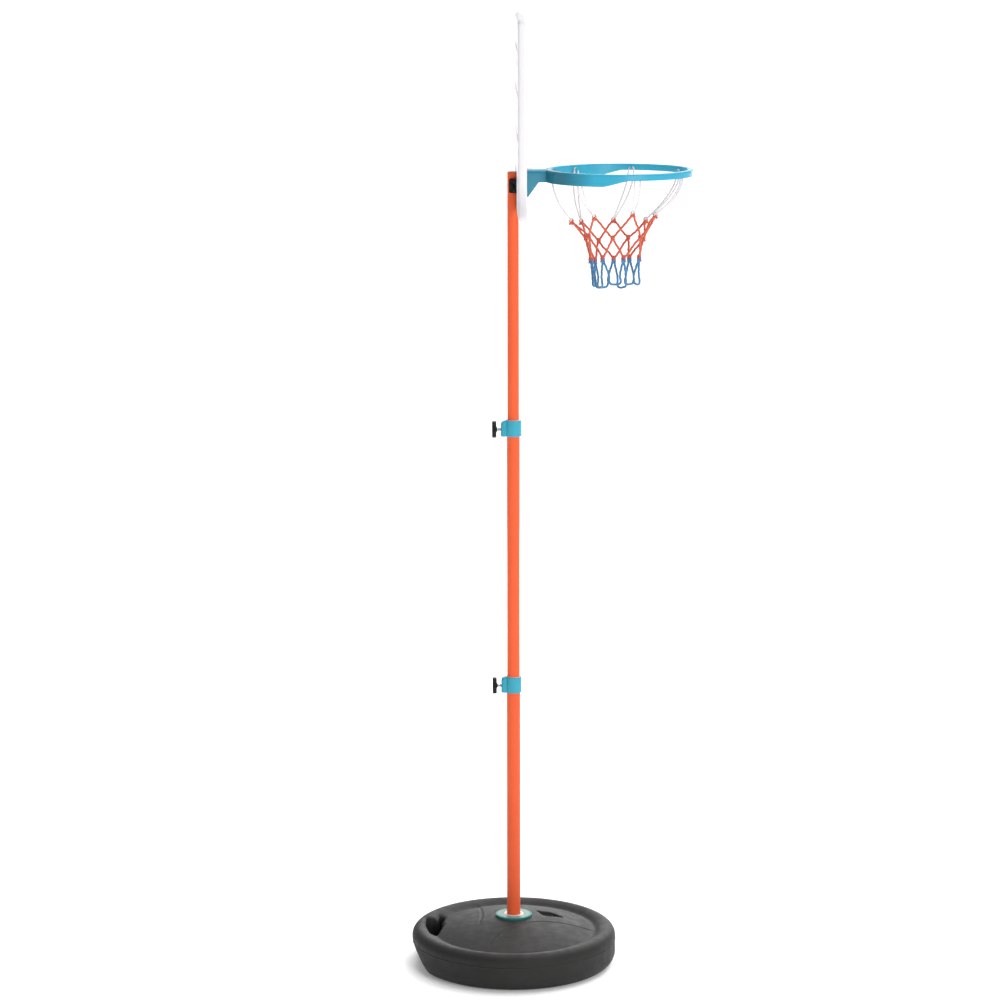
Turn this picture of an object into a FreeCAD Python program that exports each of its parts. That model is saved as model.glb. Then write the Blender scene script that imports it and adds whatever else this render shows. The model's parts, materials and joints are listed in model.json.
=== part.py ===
import FreeCAD, Part
import math
import os

Vec = FreeCAD.Vector

# Portable basketball hoop. Millimetres, +Z up, the hoop reaches out along +X.
# The origin is the centre of the base, on the floor.

# ---------------------------------------------------------------- driving dimensions
ASSEMBLY_GAP = 0.05      # radial gap of pieces that are fitted together and stay put
RUNNING_GAP = 0.08       # radial gap of pieces that slide or turn in each other

# Base: a blow-moulded tank for water or sand
BASE_R = 207.0
FOOT_R = 181.0
FOOT_INNER_R = 150.0
TANK_WALL = 3.0
UNDERSIDE_Z = 5.0
LIP_R = 184.0
LIP_Z = 74.5
VALLEY_R = 163.0
VALLEY_Z = 66.5
SEAT_R = 38.5
SEAT_Z = 95.5
WELL_R = 20.6
WELL_FLOOR_Z = 13.0
WELL_POCKET_R = 21.0
STRAIGHT_LOW_Z = 28.0    # the side is upright between these heights
STRAIGHT_TOP_Z = 57.0
FOOT_ARC = (7.6, 7.64)   # a point of the foot's round, in from the side and up
SHOULDER_ARC = (5.6, 69.5)   # a point of the lip's round, in from the side, height

# Base bolt, from below
BASE_BOLT_R = 4.0
BASE_BOLT_HOLE_R = 4.3
BASE_BOLT_HEAD = (13.0, 5.4)   # across flats, height
BASE_WASHER_R = 12.0
BASE_WASHER_THICKNESS = 1.6

# Hand hole behind the lip, opposite the hoop: centres and radii along its middle
HAND_LOBES = (((-161.5, -33.0), 9.0), ((-161.0, 12.0), 18.5), ((-165.0, 46.0), 14.5))
HAND_SPUR = (((-151.0, 40.0), 8.0), ((-146.5, 78.0), 6.0))
HAND_WALL = 5.0          # between the hole and the grip flat
GRIP_TOP_Z = 52.0        # top of the flat under the lip that lets the fingers in
GRIP_FOOT_X = -167.0

# Filler neck and its rubber bung
FILLER_X = 71.0
FILLER_Y = 27.0
FILLER_FLOOR_Z = 82.0
FILLER_BORE_R = 11.0
FILLER_RECESS_R = 17.0
FILLER_TAIL = (25.0, -5.0)
FILLER_NOSE = (-19.5, 12.0)
FILLER_TAIL_R = 4.5
NECK_LENGTH = 14.0
BUNG_LIP = 2.0
BUNG_TOP = 3.5

# Hub on top of the base
HUB_R = 37.0
HUB_TOP_Z = 100.0

# Pole: three telescoping steel tubes
TUBE_WALL = 0.8
LOWER_R = 13.6
MIDDLE_R = LOWER_R - TUBE_WALL - RUNNING_GAP
UPPER_R = 11.4
POLE_TOP_Z = 1604.0
TUBE_INSERT = 60.0       # how far a tube reaches down into the one below

# Clamp collars
COLLAR_R = 16.4
COLLAR_HEIGHT = 32.0
LOWER_COLLAR_Z = 562.0
UPPER_COLLAR_Z = 1082.0
COLLAR_BUSH_HEIGHT = 7.0
SCREW_Z = 13.2            # above the collar's lower edge
LUG_X = -24.5
LUG_HALF_WIDTH = 9.0
SCREW_R = 3.0
SCREW_HOLE_R = 3.4
KNOB_R = 16.5
KNOB_X = -33.5
KNOB_THICKNESS = 8.5
KNOB_FLUTES = 9
KNOB_BOSS = (5.4, 1.6)    # radius, height
PAD_THICKNESS = 2.0
PAD_GAP = 0.12
NUT_X = -21.8
NUT_THICKNESS = 4.0
NUT_HALF = 5.0
NUT_PLAY = 0.2
LOWER_TOP_Z = LOWER_COLLAR_Z + COLLAR_HEIGHT - COLLAR_BUSH_HEIGHT
MIDDLE_TOP_Z = UPPER_COLLAR_Z + COLLAR_HEIGHT - COLLAR_BUSH_HEIGHT
MIDDLE_LOW_Z = LOWER_COLLAR_Z - TUBE_INSERT
UPPER_LOW_Z = UPPER_COLLAR_Z - TUBE_INSERT

# Backboard: a blow-moulded panel
BOARD_BACK_X = 6.5
BOARD_FRONT_X = 23.5
BOARD_HALF_WIDTH = 250.0
BOARD_LOW_Z = 1529.5
BOARD_TOP_Z = 1905.0
BOARD_CORNER_R = 10.0
BOARD_EDGE_R = 6.0
BOARD_WALL = 2.5
CHANNEL_TOP_Z = 1612.0
RIB_HALF_LENGTH = 26.0
RIB_HALF_HEIGHT = 6.0
RIB_FLOOR = 4.0
TARGET_LOW_Z = 1628.0
TARGET_TOP_Z = 1768.0
TARGET_HALF_WIDTH = 98.0
TARGET_LINE = 12.0
TARGET_THICKNESS = 0.4

# Black bracket that holds the board and rim to the pole
BRACKET_LOW_Z = 1563.5
BRACKET_TOP_Z = 1591.7
BRACKET_MIDDLE_Z = (BRACKET_LOW_Z + BRACKET_TOP_Z) / 2
BRACKET_HALF_WIDTH = 28.0
BRACKET_CHEEK = 14.5
BRACKET_BACK_X = -8.0
BRACKET_BOLT_X = -2.2
EAR_THICKNESS = 3.5
RIM_BOLT_Y = 20.0
RIM_BOLT_ZS = (1569.5, 1586.0)
RIM_BOLT_TAIL = 7.0      # past the rim's plate
M5_R = 2.5
M5_HOLE_R = 2.75
M5_NUT = (8.0, 4.0)      # across flats, thickness
M5_WASHER = (4.9, 1.0)   # radius, thickness
M5_HEAD = (4.4, 2.8)     # radius, height
M5_SOCKET_R = 1.5

# Rim: ring, arm, gussets and plate in one moulding
RING_X = 207.7
RING_R = 145.3
RING_INNER_R = 133.0
RING_TOP_Z = 1609.0
RING_DEEP = 24.0
RING_SHALLOW = 12.5
RING_WALL = 2.5
STEP_START_X = 169.0
STEP_END_X = 219.0
PLATE_THICKNESS = 4.0
PLATE_HALF_WIDTH = 30.0
PLATE_LOW_Z = 1556.0
ARM_HALF_WIDTH = 28.0
ARM_END_HALF_WIDTH = 25.0
ARM_END_X = 76.0
GUSSET_DEPTH = 22.0
NET_HOOKS = 7
HOOK_REACH = 7.0

# Net: its three bands of coloured cord
NET_TOP = (RING_X, 126.0, 1596.0)        # centre x, radius, height
NET_KNOTS = (196.0, 79.0, 1511.0)
NET_JOIN = (197.0, 47.0, 1431.0)
NET_BOTTOM = (197.0, 42.0, 1382.0)
NET_THICKNESS = 1.0


# ---------------------------------------------------------------- shape helpers
def box(x_low, x_high, y_low, y_high, z_low, z_high):
    size = Vec(x_high - x_low, y_high - y_low, z_high - z_low)
    return Part.makeBox(size.x, size.y, size.z, Vec(x_low, y_low, z_low))


def rod(radius, z_low, z_high, x=0.0, y=0.0):
    return Part.makeCylinder(radius, z_high - z_low, Vec(x, y, z_low))


def rod_x(radius, x_low, x_high, y=0.0, z=0.0):
    return Part.makeCylinder(radius, x_high - x_low, Vec(x_low, y, z), Vec(1, 0, 0))


def rod_y(radius, y_low, y_high, x=0.0, z=0.0):
    return Part.makeCylinder(radius, y_high - y_low, Vec(x, y_low, z), Vec(0, 1, 0))


def tube(outer, inner, z_low, z_high):
    return rod(outer, z_low, z_high).cut(rod(inner, z_low, z_high))


def outline(start, steps, place, closing=None):
    """A closed wire. A step is an end point, or a pair: a point on an arc and its end."""
    edges = []
    here = place(*start)
    for step in steps + [closing or start]:
        if isinstance(step[0], tuple):
            through, end = place(*step[0]), place(*step[1])
            edges.append(Part.Arc(here, through, end).toShape())
        else:
            end = place(*step)
            edges.append(Part.LineSegment(here, end).toShape())
        here = end
    return Part.Wire(edges)


def turned(start, steps, x=0.0):
    """A solid of revolution about the vertical axis at x, from radii and heights."""
    wire = outline(start, steps, lambda r, z: Vec(x + r, 0, z))
    return Part.Face(wire).revolve(Vec(x, 0, 0), Vec(0, 0, 1), 360)


def side_prism(start, steps, half_width):
    """A side view in x and z, extruded to both sides of the middle."""
    wire = outline(start, steps, lambda x, z: Vec(x, -half_width, z))
    return Part.Face(wire).extrude(Vec(0, 2 * half_width, 0))


def plan_prism(start, steps, z_low, z_high):
    """A plan view in x and y, extruded upwards."""
    wire = outline(start, steps, lambda x, y: Vec(x, y, z_low))
    return Part.Face(wire).extrude(Vec(0, 0, z_high - z_low))


def capsule(start, end, start_r, end_r, z_low, z_high):
    """Two upright rods and the tangent sides between them."""
    span_x, span_y = end[0] - start[0], end[1] - start[1]
    along = math.atan2(span_y, span_x)
    lean = math.acos((start_r - end_r) / math.hypot(span_x, span_y))
    corners = []
    for (x, y), radius, sides in ((start, start_r, (-1, 1)), (end, end_r, (1, -1))):
        for side in sides:
            turn = along + side * lean
            corners.append((x + radius * math.cos(turn), y + radius * math.sin(turn)))
    web = plan_prism(corners[0], corners[1:], z_low, z_high)
    return web.fuse(rod(start_r, z_low, z_high, *start)).fuse(rod(end_r, z_low, z_high, *end))


def slab(x_low, x_high, half_width, z_low, z_high, corner):
    """A rounded rectangle in y and z, extruded along x."""
    w = half_width
    bend = corner * (1 - math.sqrt(0.5))
    steps = [(w - corner, z_low), ((w - bend, z_low + bend), (w, z_low + corner)),
             (w, z_high - corner), ((w - bend, z_high - bend), (w - corner, z_high)),
             (corner - w, z_high), ((bend - w, z_high - bend), (-w, z_high - corner)),
             (-w, z_low + corner)]
    closing = ((bend - w, z_low + bend), (corner - w, z_low))
    wire = outline((corner - w, z_low), steps, lambda y, z: Vec(x_low, y, z), closing)
    return Part.Face(wire).extrude(Vec(x_high - x_low, 0, 0))


def hex_x(across_flats, x_low, x_high, y, z):
    radius = across_flats / math.sqrt(3)
    corners = []
    for k in range(7):
        turn = math.radians(60 * k)
        corners.append(Vec(x_low, y + radius * math.cos(turn), z + radius * math.sin(turn)))
    return Part.Face(Part.makePolygon(corners)).extrude(Vec(x_high - x_low, 0, 0))


def rounded_rim(shape, axis, places, radius):
    """Fillets the edges that lie wholly in a plane across the axis at one of the places."""
    edges = []
    for edge in shape.Edges:
        for place in places:
            spots = [getattr(vertex.Point, axis) for vertex in edge.Vertexes]
            if all(abs(spot - place) < 0.01 for spot in spots):
                edges.append(edge)
    return shape.makeFillet(radius, edges)


# ---------------------------------------------------------------- base
def tank_form(inset):
    """The tank's outer form, or the form of its hollow when inset is the wall."""
    side = BASE_R - inset
    foot, lip = FOOT_R - inset / 3, LIP_R
    start = (WELL_R + inset if inset else 0.0, UNDERSIDE_Z + inset)
    steps = [(FOOT_INNER_R - 4.0 - inset / 2, UNDERSIDE_Z + inset),
             (FOOT_INNER_R + inset / 2, inset), (foot, inset),
             ((side - FOOT_ARC[0], FOOT_ARC[1] + inset), (side, STRAIGHT_LOW_Z)),
             (side, STRAIGHT_TOP_Z),
             ((side - SHOULDER_ARC[0], SHOULDER_ARC[1] - inset / 2), (lip, LIP_Z - inset)),
             ((lip - 10.0, LIP_Z - 3.0 - inset), (VALLEY_R + 5.0, VALLEY_Z + 1.8 - inset)),
             (VALLEY_R, VALLEY_Z - inset),
             ((103.0, 84.6 - inset), (SEAT_R, SEAT_Z - inset)),
             (start[0], SEAT_Z - inset)]
    return turned(start, steps)


def hand_hole(grow, z_low, z_high):
    """The through hole for the fingers, with a spur for the thumb and a sloping outer wall."""
    pieces = []
    for chain in (HAND_LOBES, HAND_SPUR):
        for (start, start_r), (end, end_r) in zip(chain, chain[1:]):
            pieces.append(capsule(start, end, start_r + grow, end_r + grow, z_low, z_high))
    hole = pieces[0].fuse(pieces[1:])
    return hole.cut(grip_flat(HAND_WALL - grow)).removeSplitter()


def filler_recess(grow, z_low, z_high):
    """The eye-shaped recess round the filler, with a tail for the bung's tab."""
    here = (FILLER_X, FILLER_Y)
    recess = rod(FILLER_RECESS_R + grow, z_low, z_high, *here)
    for tip in (FILLER_TAIL, FILLER_NOSE):
        there = (FILLER_X + tip[0], FILLER_Y + tip[1])
        recess = recess.fuse(capsule(here, there, FILLER_RECESS_R + grow, FILLER_TAIL_R + grow,
                                     z_low, z_high))
    return recess.removeSplitter()


def grip_flat(inset):
    """What the flat under the hand hole takes off the side of the tank."""
    top_x, foot_x = inset - BASE_R, inset + GRIP_FOOT_X
    return side_prism((top_x, GRIP_TOP_Z), [(foot_x, 0.0), (foot_x, -2.0), (-2 * BASE_R, -2.0),
                                            (-2 * BASE_R, GRIP_TOP_Z)], BASE_R)


def base_tank():
    above = LIP_Z + 30.0
    body = tank_form(0.0)
    body = body.cut(rod(WELL_R, WELL_FLOOR_Z, above))
    body = body.cut(rod(WELL_POCKET_R, -1.0, WELL_FLOOR_Z - TANK_WALL))
    body = body.cut(rod(BASE_BOLT_HOLE_R, -1.0, above))
    body = body.cut(filler_recess(0.0, FILLER_FLOOR_Z, above))
    body = body.cut(hand_hole(0.0, -1.0, above))
    body = body.cut(grip_flat(0.0))
    hollow = tank_form(TANK_WALL)
    hollow = hollow.cut(filler_recess(TANK_WALL, FILLER_FLOOR_Z - TANK_WALL, above))
    hollow = hollow.cut(rod(FILLER_BORE_R + TANK_WALL, FILLER_FLOOR_Z - NECK_LENGTH, above,
                            FILLER_X, FILLER_Y))
    hollow = hollow.cut(hand_hole(TANK_WALL, -1.0, above))
    hollow = hollow.cut(grip_flat(TANK_WALL))
    hollow = hollow.cut(rod(WELL_POCKET_R + TANK_WALL, -1.0, WELL_FLOOR_Z))
    neck_bore = rod(FILLER_BORE_R, FILLER_FLOOR_Z - NECK_LENGTH - 1.0, above, FILLER_X, FILLER_Y)
    return body.cut(hollow).cut(neck_bore)


def hub_flange():
    inner = WELL_R + ASSEMBLY_GAP
    return turned((inner, SEAT_Z), [(HUB_R, SEAT_Z), (HUB_R, HUB_TOP_Z - 1.5),
                                    (HUB_R - 1.5, HUB_TOP_Z), (inner, HUB_TOP_Z)])


def base_bush():
    outer = WELL_R - ASSEMBLY_GAP
    inner = LOWER_R + ASSEMBLY_GAP
    return turned((inner, WELL_FLOOR_Z),
                  [(outer, WELL_FLOOR_Z), (outer, HUB_TOP_Z - 0.4), (outer - 0.8, HUB_TOP_Z + 0.4),
                   (inner + 0.8, HUB_TOP_Z + 0.4), (inner, HUB_TOP_Z - 0.4)])


def foot_plug():
    outer = LOWER_R - TUBE_WALL - ASSEMBLY_GAP
    return tube(outer, BASE_BOLT_R + ASSEMBLY_GAP, WELL_FLOOR_Z, WELL_FLOOR_Z + 32.0)


def base_washer():
    top = WELL_FLOOR_Z - TANK_WALL
    return tube(BASE_WASHER_R, BASE_BOLT_R + 0.2, top - BASE_WASHER_THICKNESS, top)


def base_bolt():
    seat = WELL_FLOOR_Z - TANK_WALL - BASE_WASHER_THICKNESS
    across, height = BASE_BOLT_HEAD
    head = hex_x(across, 0.0, height, 0.0, 0.0)
    head.rotate(Vec(0, 0, 0), Vec(0, 1, 0), 90)
    head.translate(Vec(0, 0, seat))
    return head.fuse(rod(BASE_BOLT_R, seat - 0.1, WELL_FLOOR_Z + 28.0))


def filler_bung():
    low = FILLER_FLOOR_Z - NECK_LENGTH + 1.0
    top = FILLER_FLOOR_Z + BUNG_TOP
    plug_r = FILLER_BORE_R - RUNNING_GAP
    stem = turned((0.0, low), [(plug_r - 1.5, low), (plug_r, low + 1.5), (plug_r, FILLER_FLOOR_Z),
                               (FILLER_BORE_R + BUNG_LIP, FILLER_FLOOR_Z),
                               (FILLER_BORE_R + BUNG_LIP, top - 3.0),
                               ((FILLER_BORE_R + BUNG_LIP - 0.88, top - 0.88),
                                (FILLER_BORE_R + BUNG_LIP - 3.0, top)),
                               (0.0, top)])
    stem.translate(Vec(FILLER_X, FILLER_Y, 0))
    reach = math.hypot(*FILLER_TAIL) - 1.0
    tab = box(FILLER_BORE_R - 2.0, reach, -3.0, 3.0, FILLER_FLOOR_Z + 0.4, FILLER_FLOOR_Z + 2.4)
    tab = tab.fuse(rod(4.0, FILLER_FLOOR_Z + 0.4, FILLER_FLOOR_Z + 2.4, reach, 0.0))
    tab.rotate(Vec(0, 0, 0), Vec(0, 0, 1), math.degrees(math.atan2(FILLER_TAIL[1], FILLER_TAIL[0])))
    tab.translate(Vec(FILLER_X, FILLER_Y, 0))
    return stem.fuse(tab)


# ---------------------------------------------------------------- pole
def pole_tube(radius, z_low, z_high, screw_z=None, bolt_z=None):
    pipe = tube(radius, radius - TUBE_WALL, z_low, z_high)
    if screw_z:
        pipe = pipe.cut(rod_x(SCREW_HOLE_R, -2 * radius, 0.0, 0.0, screw_z))
    if bolt_z:
        pipe = pipe.cut(rod_y(M5_HOLE_R, -2 * radius, 2 * radius, BRACKET_BOLT_X, bolt_z))
    return pipe


def tube_plug(tube_r, guide_r, tube_end_z):
    """The nylon foot of an inner tube: it turns in the tube and slides in the tube outside."""
    spigot = tube_r - TUBE_WALL - RUNNING_GAP
    return turned((4.0, tube_end_z - 8.0),
                  [(guide_r - 1.0, tube_end_z - 8.0), (guide_r, tube_end_z - 7.0),
                   (guide_r, tube_end_z - 0.1), (spigot, tube_end_z - 0.1),
                   (spigot, tube_end_z + 20.0), (4.0, tube_end_z + 20.0)])


def collar(low_z, tube_r):
    """A clamp collar with a lug for the screw, fixed on the top of a tube."""
    top = low_z + COLLAR_HEIGHT
    middle = low_z + SCREW_Z
    body = turned((0.0, low_z), [(COLLAR_R - 1.2, low_z), (COLLAR_R, low_z + 1.2),
                                 (COLLAR_R, top - 1.6), (COLLAR_R - 1.6, top), (0.0, top)])
    lug = plan_prism((0.0, -LUG_HALF_WIDTH),
                     [(LUG_X + 2.5, -LUG_HALF_WIDTH),
                      ((LUG_X + 0.73, -LUG_HALF_WIDTH + 0.73), (LUG_X, -LUG_HALF_WIDTH + 2.5)),
                      (LUG_X, LUG_HALF_WIDTH - 2.5),
                      ((LUG_X + 0.73, LUG_HALF_WIDTH - 0.73), (LUG_X + 2.5, LUG_HALF_WIDTH)),
                      (0.0, LUG_HALF_WIDTH)], low_z, top - 4.5)
    body = body.fuse(lug)
    body = body.cut(rod(tube_r + ASSEMBLY_GAP, low_z - 1, top - COLLAR_BUSH_HEIGHT))
    body = body.cut(rod(COLLAR_R - 2.0, top - COLLAR_BUSH_HEIGHT, top + 1))
    body = body.cut(rod_x(SCREW_HOLE_R, 2 * LUG_X, 0.0, 0.0, middle))
    reach = NUT_HALF + NUT_PLAY
    pocket = box(NUT_X, NUT_X + NUT_THICKNESS + NUT_PLAY, -reach, reach, low_z - 1.0,
                 middle + reach)
    return body.cut(pocket).removeSplitter()


def collar_bush(low_z, inner_tube_r):
    """The white bush in the collar's mouth that guides the tube above."""
    top = low_z + COLLAR_HEIGHT
    outer = COLLAR_R - 2.0 - ASSEMBLY_GAP
    inner = inner_tube_r + RUNNING_GAP
    low = top - COLLAR_BUSH_HEIGHT + 0.05
    return turned((inner, low), [(outer, low), (outer, top + 0.2), (outer - 0.6, top + 0.8),
                                 (inner + 0.6, top + 0.8), (inner, top + 0.2)])


def clamp_nut(low_z):
    middle = low_z + SCREW_Z
    start_x = NUT_X + NUT_PLAY / 2
    nut = box(start_x, start_x + NUT_THICKNESS, -NUT_HALF, NUT_HALF, middle - NUT_HALF,
              middle + NUT_HALF)
    return nut.cut(rod_x(SCREW_R + ASSEMBLY_GAP, 2 * LUG_X, 0.0, 0.0, middle))


def clamp_pad(low_z, inner_tube_r):
    """The nylon pad on the tip of the screw, pressed against the inner tube."""
    middle = low_z + SCREW_Z
    face_x = -(inner_tube_r + PAD_GAP)
    return rod_x(SCREW_R, face_x - PAD_THICKNESS, face_x, 0.0, middle)


def clamp_screw(low_z, inner_tube_r):
    middle = low_z + SCREW_Z
    tip_x = -(inner_tube_r + PAD_GAP + PAD_THICKNESS + 0.05)
    end_x = KNOB_X - KNOB_THICKNESS + 2.5
    shank = rod_x(SCREW_R, end_x, tip_x, 0.0, middle)
    return shank.makeChamfer(0.4, [e for e in shank.Edges if abs(e.BoundBox.XMax - tip_x) < 0.01
                                   and e.BoundBox.XLength < 0.01])


def clamp_knob(low_z):
    """A round knob with finger flutes and a boss towards the collar."""
    middle = low_z + SCREW_Z
    depth = KNOB_THICKNESS
    knob = turned((0.0, 0.0), [(KNOB_R - 1.6, 0.0), ((KNOB_R - 0.47, 0.47), (KNOB_R, 1.6)),
                               (KNOB_R, depth - 2.2),
                               ((KNOB_R - 0.64, depth - 0.64), (KNOB_R - 2.2, depth)),
                               (9.5, depth), (8.5, depth - 1.2), (0.0, depth - 1.2)])
    for k in range(KNOB_FLUTES):
        turn = 2 * math.pi * (k + 0.5) / KNOB_FLUTES
        knob = knob.cut(rod(3.4, -1.0, depth + 1.0, (KNOB_R + 1.7) * math.cos(turn),
                            (KNOB_R + 1.7) * math.sin(turn)))
    knob = knob.fuse(turned((0.0, -KNOB_BOSS[1]), [(KNOB_BOSS[0] - 0.8, -KNOB_BOSS[1]),
                                                 (KNOB_BOSS[0], 0.5), (0.0, 0.5)]))
    knob = knob.cut(rod(SCREW_R + 0.02, -4.0, depth - 2.48))
    knob.rotate(Vec(0, 0, 0), Vec(0, 1, 0), -90)
    knob.translate(Vec(KNOB_X, 0, middle))
    return knob


def end_cap():
    outer = UPPER_R - TUBE_WALL - ASSEMBLY_GAP
    return turned((0.0, POLE_TOP_Z - 12.0), [(outer, POLE_TOP_Z - 12.0), (outer, POLE_TOP_Z - 0.6),
                                             (outer - 1.0, POLE_TOP_Z), (0.0, POLE_TOP_Z)])


# ---------------------------------------------------------------- head
def bracket():
    """A moulded saddle: cheeks each side of the pole, a web in front and two ears."""
    cheeks = box(BRACKET_BACK_X, BOARD_BACK_X + 5.5, -BRACKET_CHEEK, BRACKET_CHEEK,
                 BRACKET_LOW_Z, BRACKET_TOP_Z)
    back_edges = [e for e in cheeks.Edges if abs(e.BoundBox.XMax - BRACKET_BACK_X) < 0.01
                  and e.BoundBox.ZLength < 0.01]
    cheeks = cheeks.makeFillet(2.5, back_edges)
    ears = slab(BOARD_BACK_X - EAR_THICKNESS, BOARD_BACK_X - 0.05, BRACKET_HALF_WIDTH,
                BRACKET_LOW_Z, BRACKET_TOP_Z, 4.0)
    body = cheeks.fuse(ears)
    body = body.cut(rod(UPPER_R + ASSEMBLY_GAP, BRACKET_LOW_Z - 1, BRACKET_TOP_Z + 1))
    mouth = box(BRACKET_BACK_X - 1, 0.0, -UPPER_R - ASSEMBLY_GAP, UPPER_R + ASSEMBLY_GAP,
                BRACKET_LOW_Z - 1, BRACKET_TOP_Z + 1)
    body = body.cut(mouth)
    for y, z in rim_bolt_places():
        body = body.cut(rod_x(M5_HOLE_R, 0.0, BOARD_FRONT_X, y, z))
    cross_hole = rod_y(M5_HOLE_R, -BRACKET_HALF_WIDTH, BRACKET_HALF_WIDTH, BRACKET_BOLT_X,
                       BRACKET_MIDDLE_Z)
    return body.cut(cross_hole).removeSplitter()


def rim_bolt_places():
    return [(side * RIM_BOLT_Y, z) for side in (-1, 1) for z in RIM_BOLT_ZS]


def button_head():
    """A domed bolt head on its seat at the origin, facing up, with a driving socket."""
    radius, height = M5_HEAD
    dome = ((radius - 1.0, height - 0.5), (radius - 2.8, height))
    head = turned((0.0, 0.0), [(radius, 0.0), (radius, 1.1), dome, (0.0, height)])
    return head.cut(rod(M5_SOCKET_R, height / 2, 2 * height))


def bracket_bolt():
    head = button_head()
    head.rotate(Vec(0, 0, 0), Vec(1, 0, 0), 90)
    head.translate(Vec(BRACKET_BOLT_X, -BRACKET_CHEEK - 0.05, BRACKET_MIDDLE_Z))
    shank = rod_y(M5_R, -BRACKET_CHEEK - 0.1, BRACKET_CHEEK + 6.0, BRACKET_BOLT_X,
                  BRACKET_MIDDLE_Z)
    return head.fuse(shank)


def bracket_nut():
    across, thickness = M5_NUT
    nut = hex_x(across, 0.0, thickness, 0.0, 0.0)
    nut = nut.cut(rod_x(M5_R + ASSEMBLY_GAP, -1.0, thickness + 1.0))
    nut.rotate(Vec(0, 0, 0), Vec(0, 0, 1), 90)
    nut.translate(Vec(BRACKET_BOLT_X, BRACKET_CHEEK + 0.05, BRACKET_MIDDLE_Z))
    return nut


def tack_off_places():
    """Centres of the pressed-in ribs on the back of the board."""
    places = []
    for y in (-175.0, -90.0, 90.0, 175.0):
        for z in (1598.0, 1681.0, 1764.0, 1847.0):
            places.append((y, z))
    for z in (1681.0, 1764.0, 1847.0):
        places.append((0.0, z))
    return places


def tack_offs(grow, x_low, x_high):
    ribs = []
    for y, z in tack_off_places():
        rise = RIB_HALF_HEIGHT + grow
        rib = slab(x_low, x_high, RIB_HALF_LENGTH + grow, z - rise, z + rise, rise - 0.1)
        rib.translate(Vec(0, y, 0))
        ribs.append(rib)
    return ribs


def backboard():
    board = slab(BOARD_BACK_X, BOARD_FRONT_X, BOARD_HALF_WIDTH, BOARD_LOW_Z, BOARD_TOP_Z,
                 BOARD_CORNER_R)
    board = rounded_rim(board, "x", (BOARD_BACK_X, BOARD_FRONT_X), BOARD_EDGE_R)
    wall = BOARD_WALL
    hollow = slab(BOARD_BACK_X + wall, BOARD_FRONT_X - wall, BOARD_HALF_WIDTH - wall,
                  BOARD_LOW_Z + wall, BOARD_TOP_Z - wall, BOARD_CORNER_R - wall)
    hollow = rounded_rim(hollow, "x", (BOARD_BACK_X + wall, BOARD_FRONT_X - wall),
                         BOARD_EDGE_R - wall)
    hollow = hollow.cut(box(0.0, 40.0, -38.0, 38.0, BOARD_LOW_Z - 1, CHANNEL_TOP_Z + 6.0))
    for rib in tack_offs(wall, BOARD_BACK_X, BOARD_FRONT_X):
        hollow = hollow.cut(rib)
    board = board.cut(hollow)
    for rib in tack_offs(0.0, BOARD_BACK_X - 1.0, BOARD_FRONT_X - RIB_FLOOR):
        board = board.cut(rib)
    channel = rod(UPPER_R + 0.6, BOARD_LOW_Z - 1.0, CHANNEL_TOP_Z)
    board = board.cut(channel)
    board = board.cut(box(0.0, BOARD_BACK_X + 5.6, -BRACKET_CHEEK - 0.1, BRACKET_CHEEK + 0.1,
                          BRACKET_LOW_Z - 0.1, BRACKET_TOP_Z + 0.1))
    for y, z in rim_bolt_places():
        board = board.cut(rod_x(M5_HOLE_R, 0.0, 40.0, y, z))
    return board


def target_outline():
    """The painted target square, a thin film on the front of the board."""
    front, line = BOARD_FRONT_X + TARGET_THICKNESS, TARGET_LINE
    film = slab(BOARD_FRONT_X, front, TARGET_HALF_WIDTH, TARGET_LOW_Z, TARGET_TOP_Z, 8.0)
    return film.cut(slab(BOARD_FRONT_X - 1, front + 1, TARGET_HALF_WIDTH - line,
                         TARGET_LOW_Z + line, TARGET_TOP_Z - line, 3.0))


def arm_plan(inset):
    start_x = BOARD_FRONT_X
    half, end_half = ARM_HALF_WIDTH - inset, ARM_END_HALF_WIDTH - inset
    return (start_x, -half), [(ARM_END_X, -end_half), (ARM_END_X, end_half), (start_x, half)]


def rim_arm():
    """The arm's top plate and its tapered side walls, which run down as gussets."""
    deep_z = RING_TOP_Z - RING_DEEP
    walls = plan_prism(*arm_plan(0.0), PLATE_LOW_Z, RING_TOP_Z)
    walls = walls.cut(plan_prism(*arm_plan(RING_WALL), PLATE_LOW_Z - 1, RING_TOP_Z - 3.0))
    plate_x = BOARD_FRONT_X + PLATE_THICKNESS
    under = side_prism((plate_x + 1.0, PLATE_LOW_Z - 1),
                       [(plate_x + GUSSET_DEPTH, deep_z), (2 * ARM_END_X, deep_z),
                        (2 * ARM_END_X, PLATE_LOW_Z - 1)], 100.0)
    walls = walls.cut(under)
    rib = box(plate_x - 1, ARM_END_X, -1.25, 1.25, deep_z + 6.0, RING_TOP_Z - 1.0)
    return walls.fuse(rib).cut(rod(RING_R - 1.0, 0.0, 2 * RING_TOP_Z, RING_X))


def rim_plate():
    return slab(BOARD_FRONT_X, BOARD_FRONT_X + PLATE_THICKNESS, PLATE_HALF_WIDTH, PLATE_LOW_Z,
                RING_TOP_Z, 3.0)


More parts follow.
